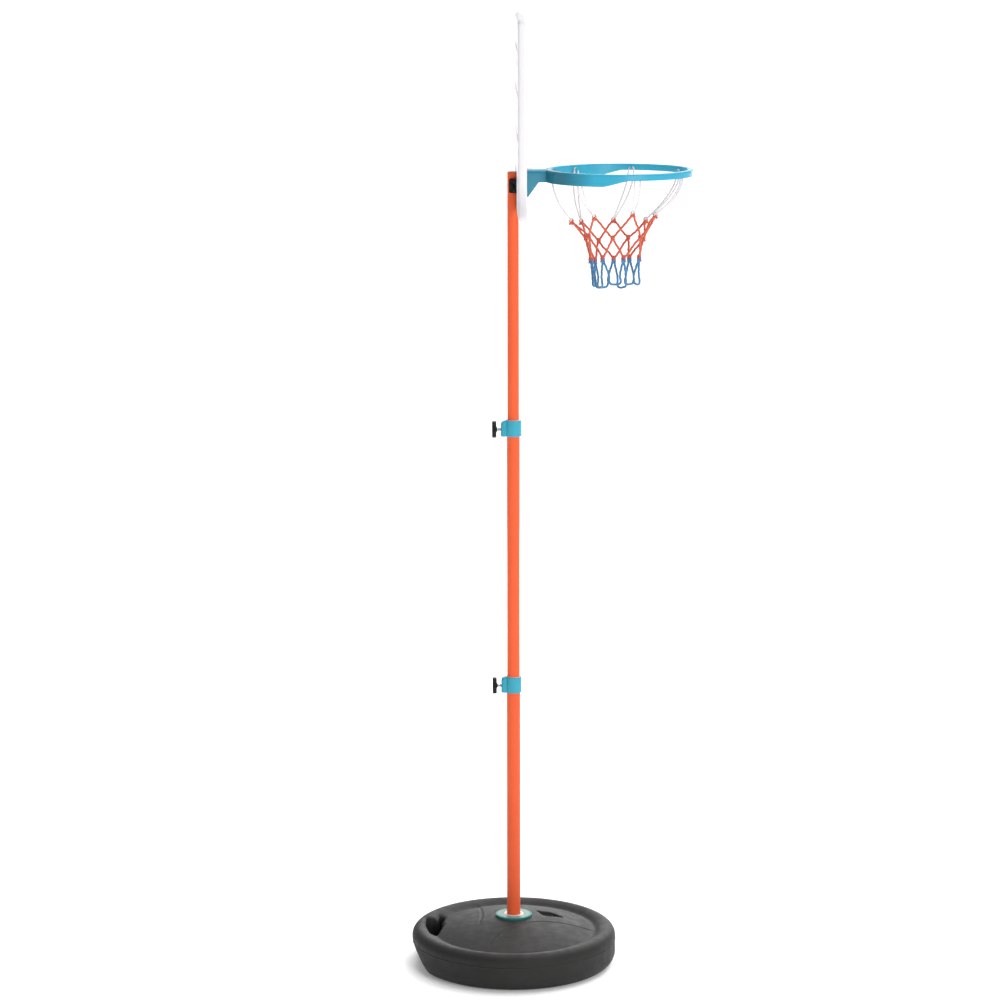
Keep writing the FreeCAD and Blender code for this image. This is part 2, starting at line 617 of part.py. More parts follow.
def ring_body():
    """The ring: an inverted channel, deep towards the board and shallow at the front."""
    low = RING_TOP_Z - RING_DEEP
    top = RING_TOP_Z
    outer, inner = RING_R, RING_INNER_R
    ring = turned((inner, low),
                  [(inner, top - 3.0), ((inner + 0.88, top - 0.88), (inner + 3.0, top)),
                   (outer - 4.0, top), ((outer - 1.17, top - 1.17), (outer, top - 4.0)),
                   (outer, low), (outer - RING_WALL, low), (outer - RING_WALL, top - 4.2),
                   (outer - 4.2, top - RING_WALL), (inner + 4.2, top - RING_WALL),
                   (inner + RING_WALL, top - 4.2), (inner + RING_WALL, low)], RING_X)
    shallow = top - RING_SHALLOW
    front = side_prism((STEP_START_X, low - 1.0),
                       [(STEP_END_X, shallow), (RING_X + 2 * RING_R, shallow),
                        (RING_X + 2 * RING_R, low - 1.0)], 2 * RING_R)
    return ring.cut(front)


def net_hook():
    """An upturned hook on the inside of the ring, at the front."""
    low = RING_TOP_Z - RING_SHALLOW + 0.5
    tip = RING_X + RING_INNER_R - HOOK_REACH
    root = RING_X + RING_INNER_R + 1.0
    return side_prism((root, low), [(tip + 1.2, low), ((tip + 0.35, low + 0.35), (tip, low + 1.2)),
                                    (tip, low + 7.0), (tip + 2.2, low + 7.0), (tip + 2.2, low + 2.4),
                                    (root, low + 2.4)], 3.0)


def rim():
    body = ring_body().fuse(rim_arm()).fuse(rim_plate())
    for k in range(NET_HOOKS):
        hook = net_hook()
        hook.rotate(Vec(RING_X, 0, 0), Vec(0, 0, 1), 180.0 + 360.0 * k / NET_HOOKS)
        body = body.fuse(hook)
    for y, z in rim_bolt_places():
        body = body.cut(rod_x(M5_HOLE_R, 0.0, BOARD_FRONT_X + 10.0, y, z))
    return body.removeSplitter()


def rim_bolts():
    bolts = []
    seat = BOARD_BACK_X - EAR_THICKNESS - 0.05
    end = BOARD_FRONT_X + PLATE_THICKNESS + RIM_BOLT_TAIL
    for y, z in rim_bolt_places():
        head = button_head()
        head.rotate(Vec(0, 0, 0), Vec(0, 1, 0), -90)
        head.translate(Vec(seat, y, z))
        bolts.append(head.fuse(rod_x(M5_R, seat - 0.1, end, y, z)))
    return bolts


def rim_washers():
    face = BOARD_FRONT_X + PLATE_THICKNESS
    radius, thickness = M5_WASHER
    washers = []
    for y, z in rim_bolt_places():
        disc = rod_x(radius, face, face + thickness, y, z)
        washers.append(disc.cut(rod_x(M5_R + ASSEMBLY_GAP, face - 1, face + 2, y, z)))
    return washers


def rim_nuts():
    face = BOARD_FRONT_X + PLATE_THICKNESS + M5_WASHER[1]
    across, thickness = M5_NUT
    nuts = []
    for y, z in rim_bolt_places():
        nut = hex_x(across, face, face + thickness, y, z)
        nuts.append(nut.cut(rod_x(M5_R + ASSEMBLY_GAP, face - 1, face + 5, y, z)))
    return nuts


def net_band(top, bottom):
    """One band of the net as a thin open cone between two level rings."""
    def cone(grow):
        hoops = []
        for x, radius, z in (bottom, top):
            circle = Part.makeCircle(radius + grow, Vec(x, 0, z))
            hoops.append(Part.Wire([circle]))
        return Part.makeLoft(hoops, True, True)
    return cone(NET_THICKNESS / 2).cut(cone(-NET_THICKNESS / 2))


# ---------------------------------------------------------------- all pieces
def lowered(spot, drop):
    return spot[0], spot[1], spot[2] - drop


def clamp_nodes(name, low_z, outer_r, inner_r):
    return {name + "_collar": collar(low_z, outer_r),
            name + "_collar_bush": collar_bush(low_z, inner_r),
            name + "_clamp_nut": clamp_nut(low_z),
            name + "_clamp_pad": clamp_pad(low_z, inner_r),
            name + "_clamp_screw": clamp_screw(low_z, inner_r),
            name + "_clamp_knob": clamp_knob(low_z)}


def all_nodes():
    nodes = {"base_tank": base_tank(),
             "hub_flange": hub_flange(),
             "base_bush": base_bush(),
             "foot_plug": foot_plug(),
             "base_bolt": base_bolt(),
             "base_washer": base_washer(),
             "filler_bung": filler_bung(),
             "lower_tube": pole_tube(LOWER_R, WELL_FLOOR_Z, LOWER_TOP_Z,
                                     LOWER_COLLAR_Z + SCREW_Z),
             "middle_tube": pole_tube(MIDDLE_R, MIDDLE_LOW_Z, MIDDLE_TOP_Z,
                                      UPPER_COLLAR_Z + SCREW_Z),
             "middle_tube_plug": tube_plug(MIDDLE_R, MIDDLE_R, MIDDLE_LOW_Z),
             "upper_tube": pole_tube(UPPER_R, UPPER_LOW_Z, POLE_TOP_Z, None, BRACKET_MIDDLE_Z),
             "upper_tube_plug": tube_plug(UPPER_R, MIDDLE_R - TUBE_WALL - RUNNING_GAP, UPPER_LOW_Z),
             "upper_end_cap": end_cap(),
             "pole_bracket": bracket(),
             "bracket_bolt": bracket_bolt(),
             "bracket_nut": bracket_nut(),
             "backboard": backboard(),
             "target_outline": target_outline(),
             "rim": rim(),
             "rim_bolts": Part.Compound(rim_bolts()),
             "rim_washers": Part.Compound(rim_washers()),
             "rim_nuts": Part.Compound(rim_nuts()),
             "net_white": net_band(NET_TOP, NET_KNOTS),
             "net_orange": net_band(lowered(NET_KNOTS, 1.0), NET_JOIN),
             "net_blue": net_band(lowered(NET_JOIN, 1.0), NET_BOTTOM)}
    nodes.update(clamp_nodes("lower", LOWER_COLLAR_Z, LOWER_R, MIDDLE_R))
    nodes.update(clamp_nodes("upper", UPPER_COLLAR_Z, MIDDLE_R, UPPER_R))
    return nodes


os.makedirs("parts", exist_ok=True)
for node_name, shape in sorted(all_nodes().items()):
    print(node_name, "solids", len(shape.Solids), "valid", shape.isValid(),
          "cm3", round(shape.Volume / 1000, 2))
    shape.exportStep("parts/" + node_name + ".step")
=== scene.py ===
import json
import math
import random

import bmesh
import bpy
import numpy as np
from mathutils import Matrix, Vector


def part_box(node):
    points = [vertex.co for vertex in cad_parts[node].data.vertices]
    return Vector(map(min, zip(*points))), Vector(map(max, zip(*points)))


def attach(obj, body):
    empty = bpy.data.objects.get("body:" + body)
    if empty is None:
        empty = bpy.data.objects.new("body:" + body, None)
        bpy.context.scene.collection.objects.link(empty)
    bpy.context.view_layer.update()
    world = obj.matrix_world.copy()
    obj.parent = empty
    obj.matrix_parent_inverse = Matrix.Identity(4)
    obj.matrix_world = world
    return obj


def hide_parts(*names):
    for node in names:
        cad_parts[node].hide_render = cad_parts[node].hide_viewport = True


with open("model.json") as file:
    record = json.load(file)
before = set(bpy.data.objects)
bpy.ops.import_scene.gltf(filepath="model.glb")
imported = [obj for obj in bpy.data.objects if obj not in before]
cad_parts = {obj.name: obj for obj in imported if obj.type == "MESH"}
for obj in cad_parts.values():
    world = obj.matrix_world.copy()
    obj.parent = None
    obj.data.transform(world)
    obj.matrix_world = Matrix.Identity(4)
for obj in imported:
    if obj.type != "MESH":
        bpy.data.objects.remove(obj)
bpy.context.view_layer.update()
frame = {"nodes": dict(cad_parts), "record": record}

# Portable basketball hoop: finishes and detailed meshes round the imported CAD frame. Metres.

MM = 0.001
NODES = frame["nodes"]


# ---------------------------------------------------------------- measures from the frame
def middle(node):
    low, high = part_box(node)
    return (low + high) / 2


HUB_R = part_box("hub_flange")[1].x
HUB_LOW_Z, HUB_TOP_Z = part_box("hub_flange")[0].z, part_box("hub_flange")[1].z
RIM_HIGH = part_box("rim")[1]
RING_R = RIM_HIGH.y
RING_X = RIM_HIGH.x - RING_R
RING_TOP_Z = RIM_HIGH.z


# ---------------------------------------------------------------- mesh helpers
def add_object(name, verts, faces, smooth_angle=40.0):
    """A mesh object from points and faces, smooth except over edges sharper than the angle."""
    mesh = bpy.data.meshes.new(name)
    mesh.from_pydata([tuple(v) for v in verts], [], faces)
    mesh.update()
    made = bmesh.new()
    made.from_mesh(mesh)
    bmesh.ops.recalc_face_normals(made, faces=made.faces)
    for edge in made.edges:
        sharp = len(edge.link_faces) == 2 and edge.calc_face_angle() > math.radians(smooth_angle)
        edge.smooth = not sharp
    for face in made.faces:
        face.smooth = True
    made.to_mesh(mesh)
    made.free()
    obj = bpy.data.objects.new(name, mesh)
    bpy.context.scene.collection.objects.link(obj)
    return obj


def add_piece(name, verts, faces, material, body, replaces=(), smooth_angle=40.0):
    """A finished piece: its mesh, material, the body it rides on and the node it stands for."""
    obj = add_object(name, verts, faces, smooth_angle)
    obj.data.materials.append(material)
    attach(obj, body)
    if replaces:
        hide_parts(*replaces)
    return obj


def rows_to_faces(rows, columns, close_rows=False, close_columns=True):
    """Quads of a grid whose points run column by column within each row."""
    faces = []
    for i in range(rows if close_rows else rows - 1):
        for j in range(columns if close_columns else columns - 1):
            a, b = i * columns + j, i * columns + (j + 1) % columns
            c = ((i + 1) % rows) * columns
            faces.append((a, b, c + (j + 1) % columns, c + j))
    return faces


def smooth_path(points, step):
    """A centripetal-like cubic through the points, as points about one step apart."""
    points = [Vector(p) for p in points]
    padded = [2 * points[0] - points[1]] + points + [2 * points[-1] - points[-2]]
    path = []
    for a, b, c, d in zip(padded, padded[1:], padded[2:], padded[3:]):
        count = max(2, round((c - b).length / step))
        for k in range(count):
            t = k / count
            path.append(0.5 * (2 * b + (c - a) * t + (2 * a - 5 * b + 4 * c - d) * t * t
                               + (3 * b - a - 3 * c + d) * t ** 3))
    path.append(points[-1])
    return path


def laid_cord(path, radius, lay=0.011, strands=3, sides=12):
    """A tube with a lobed section that twists along the path, as laid cord does."""
    verts, faces = [], []
    tangent = (path[1] - path[0]).normalized()
    across = tangent.orthogonal().normalized()
    run = 0.0
    for i, spot in enumerate(path):
        ahead = path[min(i + 1, len(path) - 1)]
        behind = path[max(i - 1, 0)]
        tangent = (ahead - behind).normalized()
        across = (across - tangent * across.dot(tangent)).normalized()
        other = tangent.cross(across)
        run += (spot - behind).length
        twist = 2 * math.pi * run / lay
        for j in range(sides):
            turn = 2 * math.pi * j / sides
            r = radius * (0.90 + 0.13 * math.cos(strands * turn - twist))
            verts.append(spot + across * (r * math.cos(turn)) + other * (r * math.sin(turn)))
    faces = rows_to_faces(len(path), sides)
    last = (len(path) - 1) * sides
    faces.append(tuple(reversed(range(sides))))
    faces.append(tuple(range(last, last + sides)))
    return verts, faces


def joined(parts):
    """Several (verts, faces) pairs as one."""
    verts, faces = [], []
    for part_verts, part_faces in parts:
        start = len(verts)
        verts += list(part_verts)
        faces += [tuple(start + k for k in face) for face in part_faces]
    return verts, faces


# ---------------------------------------------------------------- material helpers
def new_material(name):
    material = bpy.data.materials.new(name)
    material.use_nodes = True
    tree = material.node_tree
    shader = tree.nodes["Principled BSDF"]
    return material, tree, shader


def node(tree, kind, inputs=None, **settings):
    made = tree.nodes.new(kind)
    for key, value in settings.items():
        setattr(made, key, value)
    for key, value in (inputs or {}).items():
        if isinstance(value, bpy.types.NodeSocket):
            tree.links.new(value, made.inputs[key])
        else:
            made.inputs[key].default_value = value
    return made


def object_point(tree):
    return node(tree, "ShaderNodeTexCoord").outputs["Object"]


def noise(tree, scale, detail=4.0, roughness=0.55, vector=None):
    inputs = {"Vector": vector or object_point(tree), "Scale": scale, "Detail": detail,
              "Roughness": roughness}
    return node(tree, "ShaderNodeTexNoise", inputs).outputs["Fac"]


def ramp(tree, factor, low, high, from_low=0.3, from_high=0.7):
    """The factor's range mapped to two values."""
    return node(tree, "ShaderNodeMapRange", {"Value": factor, "From Min": from_low,
                                             "From Max": from_high, "To Min": low,
                                             "To Max": high}).outputs["Result"]


def tinted(tree, factor, dark, light):
    """Two colours mixed by a factor."""
    mix = node(tree, "ShaderNodeMix", {"Factor": factor}, data_type="RGBA")
    mix.inputs["A"].default_value = (*dark, 1.0)
    mix.inputs["B"].default_value = (*light, 1.0)
    return mix.outputs["Result"]


def shade(colour, factor):
    return tuple(min(1.0, c * factor) for c in colour)


def bumped(tree, shader, height, strength, distance):
    bump = node(tree, "ShaderNodeBump", {"Height": height, "Strength": strength,
                                         "Distance": distance})
    tree.links.new(bump.outputs["Normal"], shader.inputs["Normal"])
    return bump


def moulded(name, colour, rough, grain, depth, spread=0.10, coat=0.0, scatter=0.0, shine=0.5):
    """Moulded plastic: a fine grain, faint flow marks in the colour and uneven gloss."""
    material, tree, shader = new_material(name)
    point = object_point(tree)
    flow = noise(tree, 9.0, 3.0, 0.5, point)
    tree.links.new(tinted(tree, ramp(tree, flow, 0.0, 1.0), shade(colour, 1 - spread),
                          shade(colour, 1 + spread)), shader.inputs["Base Color"])
    wear = noise(tree, 60.0, 5.0, 0.6, point)
    tree.links.new(ramp(tree, wear, rough - 0.06, rough + 0.08), shader.inputs["Roughness"])
    bumped(tree, shader, noise(tree, grain, 3.0, 0.6, point), 0.5, depth)
    shader.inputs["Specular IOR Level"].default_value = shine
    shader.inputs["Coat Weight"].default_value = coat
    shader.inputs["Coat Roughness"].default_value = 0.12
    shader.inputs["Subsurface Weight"].default_value = scatter
    shader.inputs["Subsurface Radius"].default_value = (0.004, 0.004, 0.004)
    return material


def board_white_painted_shade(name, colour):
    """Blow-moulded white plastic with painted shade, greyer on the front face and low down."""
    material, tree, shader = new_material(name)
    point = object_point(tree)
    height = node(tree, "ShaderNodeSeparateXYZ", {"Vector": point}).outputs["Z"]
    cloud = noise(tree, 7.0, 3.0, 0.5, point)
    low_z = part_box("backboard")[0].z
    # painted shade: the board grows darker towards its bottom edge
    wear = ramp(tree, height, 0.0, 1.0, low_z + 0.065, low_z + 0.025)
    facing = node(tree, "ShaderNodeSeparateXYZ",
                  {"Vector": node(tree, "ShaderNodeTexCoord").outputs["Normal"]}).outputs["X"]
    # painted shade: the front face, facing +X, is greyed too, and the stronger of the two shades is
    # kept
    painted_shade = node(tree, "ShaderNodeMath", {0: wear, 1: ramp(tree, facing, 0.0, 0.75, 0.7, 0.95)},
                   operation="MAXIMUM").outputs["Value"]
    painted_shade_and_tone = node(tree, "ShaderNodeMath", {0: painted_shade, 1: ramp(tree, cloud, 0.0, 0.12)},
                  operation="ADD").outputs["Value"]
    # the painted shade and a faint random cloudy tone darken the white towards 80 per cent
    tree.links.new(tinted(tree, painted_shade_and_tone, colour, shade(colour, 0.80)), shader.inputs["Base Color"])
    tree.links.new(ramp(tree, noise(tree, 60.0, 5.0, 0.6, point), 0.36, 0.50),
                   shader.inputs["Roughness"])
    bumped(tree, shader, noise(tree, 500.0, 3.0, 0.6, point), 0.5, 0.00012)
    shader.inputs["Specular IOR Level"].default_value = 0.25
    return material


def painted_highlight_top(name, inside, outside, near, far):
    """Moulded plastic painted pale on top as a painted highlight, and full-coloured outside a
    radius.
    """
    material, tree, shader = new_material(name)
    point = object_point(tree)
    split = node(tree, "ShaderNodeSeparateXYZ", {"Vector": point})
    flat = node(tree, "ShaderNodeCombineXYZ", {"X": split.outputs["X"], "Y": split.outputs["Y"]})
    length = node(tree, "ShaderNodeVectorMath", {0: flat.outputs["Vector"]}, operation="LENGTH")
    share = ramp(tree, length.outputs["Value"], 0.0, 1.0, near, far)
    tree.links.new(tinted(tree, share, inside, outside), shader.inputs["Base Color"])
    tree.links.new(ramp(tree, noise(tree, 200.0, 4.0, 0.6, point), 0.30, 0.42),
                   shader.inputs["Roughness"])
    shader.inputs["Specular IOR Level"].default_value = 0.12
    bumped(tree, shader, noise(tree, 700.0, 3.0, 0.6, point), 0.5, 0.0001)
    return material


def painted_shade_teal(name):
    """Teal plastic with painted shade, darker on the arm and on the ring's side next to it."""
    material, tree, shader = new_material(name)
    point = object_point(tree)
    away = node(tree, "ShaderNodeVectorMath", {0: point, 1: (RING_X, 0.0, 0.0)},
                operation="SUBTRACT").outputs["Vector"]
    flat = node(tree, "ShaderNodeVectorMath", {0: away, 1: (1.0, 1.0, 0.0)},
                operation="MULTIPLY").outputs["Vector"]
    beside = node(tree, "ShaderNodeVectorMath", {0: flat, 1: (-1.0, -0.35, 0.0)},
                  operation="DOT_PRODUCT").outputs["Value"]
    reach = node(tree, "ShaderNodeVectorMath", {0: flat}, operation="LENGTH").outputs["Value"]
    # painted shade: the ring darkens to 42 per cent of its colour on the side next to the arm
    ring_painted_shade = tinted(tree, ramp(tree, beside, 0.0, 1.0, 0.70 * RING_R, 0.99 * RING_R), RIM_COLOUR,
                     shade(RIM_COLOUR, 0.42))
    # painted shade: the arm, beyond the ring's radius, is darkened to 58 per cent of the colour
    tone = node(tree, "ShaderNodeMix", {"Factor": ramp(tree, reach, 0.0, 1.0, RING_R + 0.0002,
                                                       RING_R + 0.0006)}, data_type="RGBA")
    tree.links.new(ring_painted_shade, tone.inputs["A"])
    tone.inputs["B"].default_value = (*shade(RIM_COLOUR, 0.58), 1.0)
    tree.links.new(tone.outputs["Result"], shader.inputs["Base Color"])
    tree.links.new(ramp(tree, noise(tree, 60.0, 5.0, 0.6, point), 0.28, 0.40),
                   shader.inputs["Roughness"])
    bumped(tree, shader, noise(tree, 700.0, 3.0, 0.6, point), 0.5, 0.0001)
    shader.inputs["Specular IOR Level"].default_value = 0.35
    return material


def painted(name, colour, rough=0.34):
    """Powder coat on steel: orange peel and a slightly glossy skin."""
    material, tree, shader = new_material(name)
    point = object_point(tree)
    tone = noise(tree, 5.0, 3.0, 0.5, point)
    tree.links.new(tinted(tree, ramp(tree, tone, 0.0, 1.0), shade(colour, 0.95),
                          shade(colour, 1.04)), shader.inputs["Base Color"])
    tree.links.new(ramp(tree, noise(tree, 80.0, 4.0, 0.6, point), rough - 0.05, rough + 0.07),
                   shader.inputs["Roughness"])
    bumped(tree, shader, noise(tree, 900.0, 2.0, 0.5, point), 0.35, 0.00012)
    shader.inputs["Specular IOR Level"].default_value = 0.14
    return material


def plated(name, colour):
    """Zinc plated steel: a mottled, slightly brushed metal."""
    material, tree, shader = new_material(name)
    point = object_point(tree)
    cells = node(tree, "ShaderNodeTexVoronoi", {"Vector": point, "Scale": 350.0})
    spangle = cells.outputs["Distance"]
    tree.links.new(tinted(tree, ramp(tree, spangle, 0.0, 1.0, 0.0, 0.8), shade(colour, 0.82),
                          shade(colour, 1.1)), shader.inputs["Base Color"])
    tree.links.new(ramp(tree, noise(tree, 300.0, 4.0, 0.7, point), 0.22, 0.42),
                   shader.inputs["Roughness"])
    shader.inputs["Metallic"].default_value = 1.0
    bumped(tree, shader, noise(tree, 1500.0, 2.0, 0.5, point), 0.3, 0.00005)
    return material


def fibre(name, colour, dark, wear=0.35):
    """Nylon cord: fine filaments with a soft sheen."""
    material, tree, shader = new_material(name)
    point = object_point(tree)
    strands = noise(tree, 1400.0, 3.0, 0.7, point)
    soiling = noise(tree, 60.0, 3.0, 0.6, point)
    base = tinted(tree, ramp(tree, strands, 0.0, 1.0), dark, colour)
    worn = node(tree, "ShaderNodeMix", {"Factor": ramp(tree, soiling, 0.0, wear)}, data_type="RGBA",
                blend_type="MULTIPLY")
    tree.links.new(base, worn.inputs["A"])
    worn.inputs["B"].default_value = (0.62, 0.60, 0.58, 1.0)
    tree.links.new(worn.outputs["Result"], shader.inputs["Base Color"])
    shader.inputs["Roughness"].default_value = 0.62
    shader.inputs["Sheen Weight"].default_value = 0.25
    bumped(tree, shader, strands, 0.6, 0.0002)
    return material


# ---------------------------------------------------------------- materials
TEAL_COLOUR = (0.030, 0.335, 0.455)
RIM_COLOUR = (0.028, 0.350, 0.510)
TANK = moulded("tank_plastic", (0.0165, 0.0163, 0.0154), 0.60, 900.0, 0.00035, 0.08, shine=0.26)
TEAL = moulded("teal_plastic", TEAL_COLOUR, 0.34, 700.0, 0.00010, 0.05, 0.08, shine=0.3)
# the rim's material carries painted shade on the arm and on the ring beside it
RIM_TEAL_PAINTED_SHADE = painted_shade_teal("rim_plastic_painted_shade")
# the hub's pale mint top face is a painted highlight; its rounded edge and side keep the deep teal
HUB = painted_highlight_top("hub_plastic", (0.118, 0.245, 0.196), (0.018, 0.165, 0.145), 33.0 * MM, 34.4 * MM)
WHITE_BOARD_PAINTED_SHADE = board_white_painted_shade("white_board", (0.750, 0.737, 0.755))
PALE = moulded("pale_plastic", (0.62, 0.57, 0.56), 0.42, 700.0, 0.0001, 0.03, 0.0, 0.1)
NYLON = moulded("nylon", (0.66, 0.65, 0.60), 0.45, 700.0, 0.0001, 0.03, 0.0, 0.1)
BLACK = moulded("black_plastic", (0.011, 0.0105, 0.012), 0.45, 900.0, 0.0002, 0.1, shine=0.16)
RUBBER = moulded("black_rubber", (0.004, 0.004, 0.004), 0.75, 900.0, 0.0003, 0.1, shine=0.05)
TARGET = moulded("target_paint", (0.030, 0.335, 0.465), 0.35, 700.0, 0.00005, 0.03)
ORANGE = painted("orange_steel", (0.80, 0.116, 0.038))
BLACK_STEEL = painted("black_steel", (0.016, 0.016, 0.017), 0.4)
ZINC = plated("zinc_steel", (0.78, 0.79, 0.81))
WHITE_CORD = fibre("white_cord", (0.76, 0.72, 0.74), (0.60, 0.56, 0.58), 0.2)
ORANGE_CORD = fibre("orange_cord", (0.82, 0.10, 0.028), (0.44, 0.065, 0.030), 0.8)
BLUE_CORD = fibre("blue_cord", (0.050, 0.27, 0.58), (0.03, 0.14, 0.28), 0.8)

MATERIALS = {"tank_plastic": TANK, "teal_plastic": TEAL, "white_board": WHITE_BOARD_PAINTED_SHADE,
             "pale_plastic": PALE, "nylon": NYLON, "black_plastic": BLACK,
             "black_rubber": RUBBER, "target_paint": TARGET, "orange_steel": ORANGE,
             "zinc_steel": ZINC, "black_steel": BLACK_STEEL, "white_cord": WHITE_CORD,
             "orange_cord": ORANGE_CORD, "blue_cord": BLUE_CORD}


def dress_cad_nodes():
    """Every CAD node takes the material of its slot in the record."""
    for row in frame["record"]["subparts"]:
        obj = NODES[row["node"]]
        obj.data.materials.clear()
        obj.data.materials.append(MATERIALS[row["material_slot"]])


# ---------------------------------------------------------------- tank
# Plan points and heights of the tank, in millimetres.
TANK_COLUMNS = 484
SIDE_R = 206.1           # the parting ridge stands out to the full radius
RIDGE = 0.85
RIDGE_WIDTH = 1.1
RIDGE_Z = 50.0
RIDGE_BAND_LOW_Z = 43.0  # the side has closer rows from here up
BOLT_HOLE_R = 4.3
WELL_R, WELL_FLOOR_Z = 20.6, 13.0
POCKET_R, POCKET_TOP_Z = 21.0, 10.0
SEAT = (38.5, 95.5)      # the section's corners, as radius and height
DOME_VIA = (103.0, 84.6)
VALLEY = (163.0, 66.5)
LIP_FOOT = (168.0, 68.3)
LIP_VIA = (174.0, 71.5)
LIP_TOP = (184.0, 74.5)
SHOULDER_VIA = (201.2, 69.5)
SIDE_TOP = (SIDE_R, 57.0)
SIDE_LOW = (SIDE_R, 28.0)
FOOT_VIA = (199.1, 7.5)
UNDERSIDE_R, UNDERSIDE_Z = 146.0, 5.0
GRIP_TOP_Z = 52.0
GRIP_TOP_X = 207.0
GRIP_FOOT_X = 167.0
FOOT_R, FOOT_INNER_R = 181.0, 150.0
GRIP_SOFTNESS = 3.0
HAND_WALL = 5.0
HAND_SOFTNESS = 3.0
HAND_EDGE = (6.0, 3.2)   # how far the hole's rounded edge reaches, and how deep
HAND_WALL_ZS = (-10.0, -0.6, 6.3, 12.0, 18.0, 24.0, 51.0)
HAND_CHAIN = (((-161.5, -33.0), 9.0), ((-161.0, 12.0), 18.5), ((-165.0, 46.0), 14.5))
SPUR_CHAIN = (((-151.0, 40.0), 8.0), ((-146.5, 78.0), 6.0))
HAND_CENTRE = (-157.0, 28.0)
FILLER_PLACE = (71.0, 27.0)
FILLER_R = 17.0
FILLER_TIP_R = 4.5
FILLER_SOFTNESS = 4.0
FILLER_EDGE = (4.0, 1.6)
FILLER_BORE_ZS = (60.0, 90.0)
FILLER_BORE_R = 11.0
FILLER_FLOOR_Z = 82.0
TAIL_CHAIN = ((FILLER_PLACE, FILLER_R), ((96.0, 22.0), FILLER_TIP_R))
NOSE_CHAIN = ((FILLER_PLACE, FILLER_R), ((51.5, 39.0), FILLER_TIP_R))
CUT_TOP_Z = 120.0        # above everything that the cutters go through
NO_WALL = -400.0
SEAM_DEPTH = 1.15
SEAM_HALF_WIDTH = 2.7
SEAM_PATHS = (((-56, -140), (-22, -83), (30, -44), (92, -24), (170, -19)),
              ((-74, 162), (-67, 80), (-65, 5), (-72, -40)))


def arc_run(start, through, end, count):
    """Points along the circle through three points, without the last."""
    a, b, c = (Vector((*p, 0)) for p in (start, through, end))
    normal = (b - a).cross(c - a)
    centre = a + ((c - a).length_squared * normal.cross(b - a)
                  + (b - a).length_squared * (c - a).cross(normal)) / (2 * normal.length_squared)
    swing = (a - centre).angle(c - centre)
    radial = a - centre
    other = normal.normalized().cross(radial)
    spots = [centre + radial * math.cos(swing * k / count) + other * math.sin(swing * k / count)
             for k in range(count)]
    return [(p.x, p.y) for p in spots]


def line_run(start, end, count):
    return [(start[0] + (end[0] - start[0]) * k / count, start[1] + (end[1] - start[1]) * k / count)
            for k in range(count)]


def tank_profile():
    """Radius and height round the tank's closed section, and how many rows the top takes."""
    run = line_run((BOLT_HOLE_R, WELL_FLOOR_Z), (WELL_R, WELL_FLOOR_Z), 3)
    run += line_run((WELL_R, WELL_FLOOR_Z), (WELL_R, SEAT[1]), 4)
    run += line_run((WELL_R, SEAT[1]), SEAT, 4)
    dome_start = len(run)
    run += arc_run(SEAT, DOME_VIA, VALLEY, 86)
    run += line_run(VALLEY, LIP_FOOT, 4)
    run += arc_run(LIP_FOOT, LIP_VIA, LIP_TOP, 11)
    run += arc_run(LIP_TOP, SHOULDER_VIA, SIDE_TOP, 18)
    dome_end = len(run)
    run += line_run(SIDE_TOP, (SIDE_R, RIDGE_BAND_LOW_Z), 28)
    run += line_run((SIDE_R, RIDGE_BAND_LOW_Z), SIDE_LOW, 5)
    run += arc_run(SIDE_LOW, FOOT_VIA, (FOOT_R, 0.0), 14)
    run += line_run((FOOT_R, 0.0), (FOOT_INNER_R, 0.0), 5)
    run += line_run((FOOT_INNER_R, 0.0), (UNDERSIDE_R, UNDERSIDE_Z), 2)
    run += line_run((UNDERSIDE_R, UNDERSIDE_Z), (POCKET_R, UNDERSIDE_Z), 8)
    run += line_run((POCKET_R, UNDERSIDE_Z), (POCKET_R, POCKET_TOP_Z), 2)
    run += line_run((POCKET_R, POCKET_TOP_Z), (BOLT_HOLE_R, POCKET_TOP_Z), 3)
    run.append((BOLT_HOLE_R, POCKET_TOP_Z))
    run = np.array(run)
    soft = run[:, 1].copy()
    for _ in range(4):
        soft[1:-1] = (soft[:-2] + 2 * soft[1:-1] + soft[2:]) / 4
    bent = (run[:, 0] > 155) & (run[:, 0] < 180) & (run[:, 1] > 60)
    run[bent, 1] = soft[bent]
    return run, dome_start, dome_end


def chain_distance(x, y, chain):
    """Signed distance from plan points to a chain of tapered capsules."""
    nearest = None
    for ((ax, ay), a_r), ((bx, by), b_r) in zip(chain, chain[1:]):
        span = (bx - ax) ** 2 + (by - ay) ** 2
        t = np.clip(((x - ax) * (bx - ax) + (y - ay) * (by - ay)) / span, 0.0, 1.0)
        gap = np.hypot(x - ax - t * (bx - ax), y - ay - t * (by - ay)) - a_r - t * (b_r - a_r)
        nearest = gap if nearest is None else np.minimum(nearest, gap)
    return nearest


def blended(first, second, reach):
    """A smooth union of two distances."""
    h = np.clip(0.5 + 0.5 * (second - first) / reach, 0.0, 1.0)
    return second + (first - second) * h - reach * h * (1.0 - h)


def hand_distance(x, y):
    return blended(chain_distance(x, y, HAND_CHAIN), chain_distance(x, y, SPUR_CHAIN),
                   HAND_SOFTNESS)


def filler_distance(x, y):
    return blended(chain_distance(x, y, TAIL_CHAIN), chain_distance(x, y, NOSE_CHAIN),
                   FILLER_SOFTNESS)


def bore_distance(x, y):
    return np.hypot(x - FILLER_PLACE[0], y - FILLER_PLACE[1]) - FILLER_BORE_R


def grip_limit(z):
    """How far from the axis the grip flat lets the tank reach, opposite the hoop."""
    share = np.clip(z / GRIP_TOP_Z, 0.0, 1.0)
    return np.where(z < GRIP_TOP_Z, GRIP_FOOT_X + (GRIP_TOP_X - GRIP_FOOT_X) * share, 1e3)


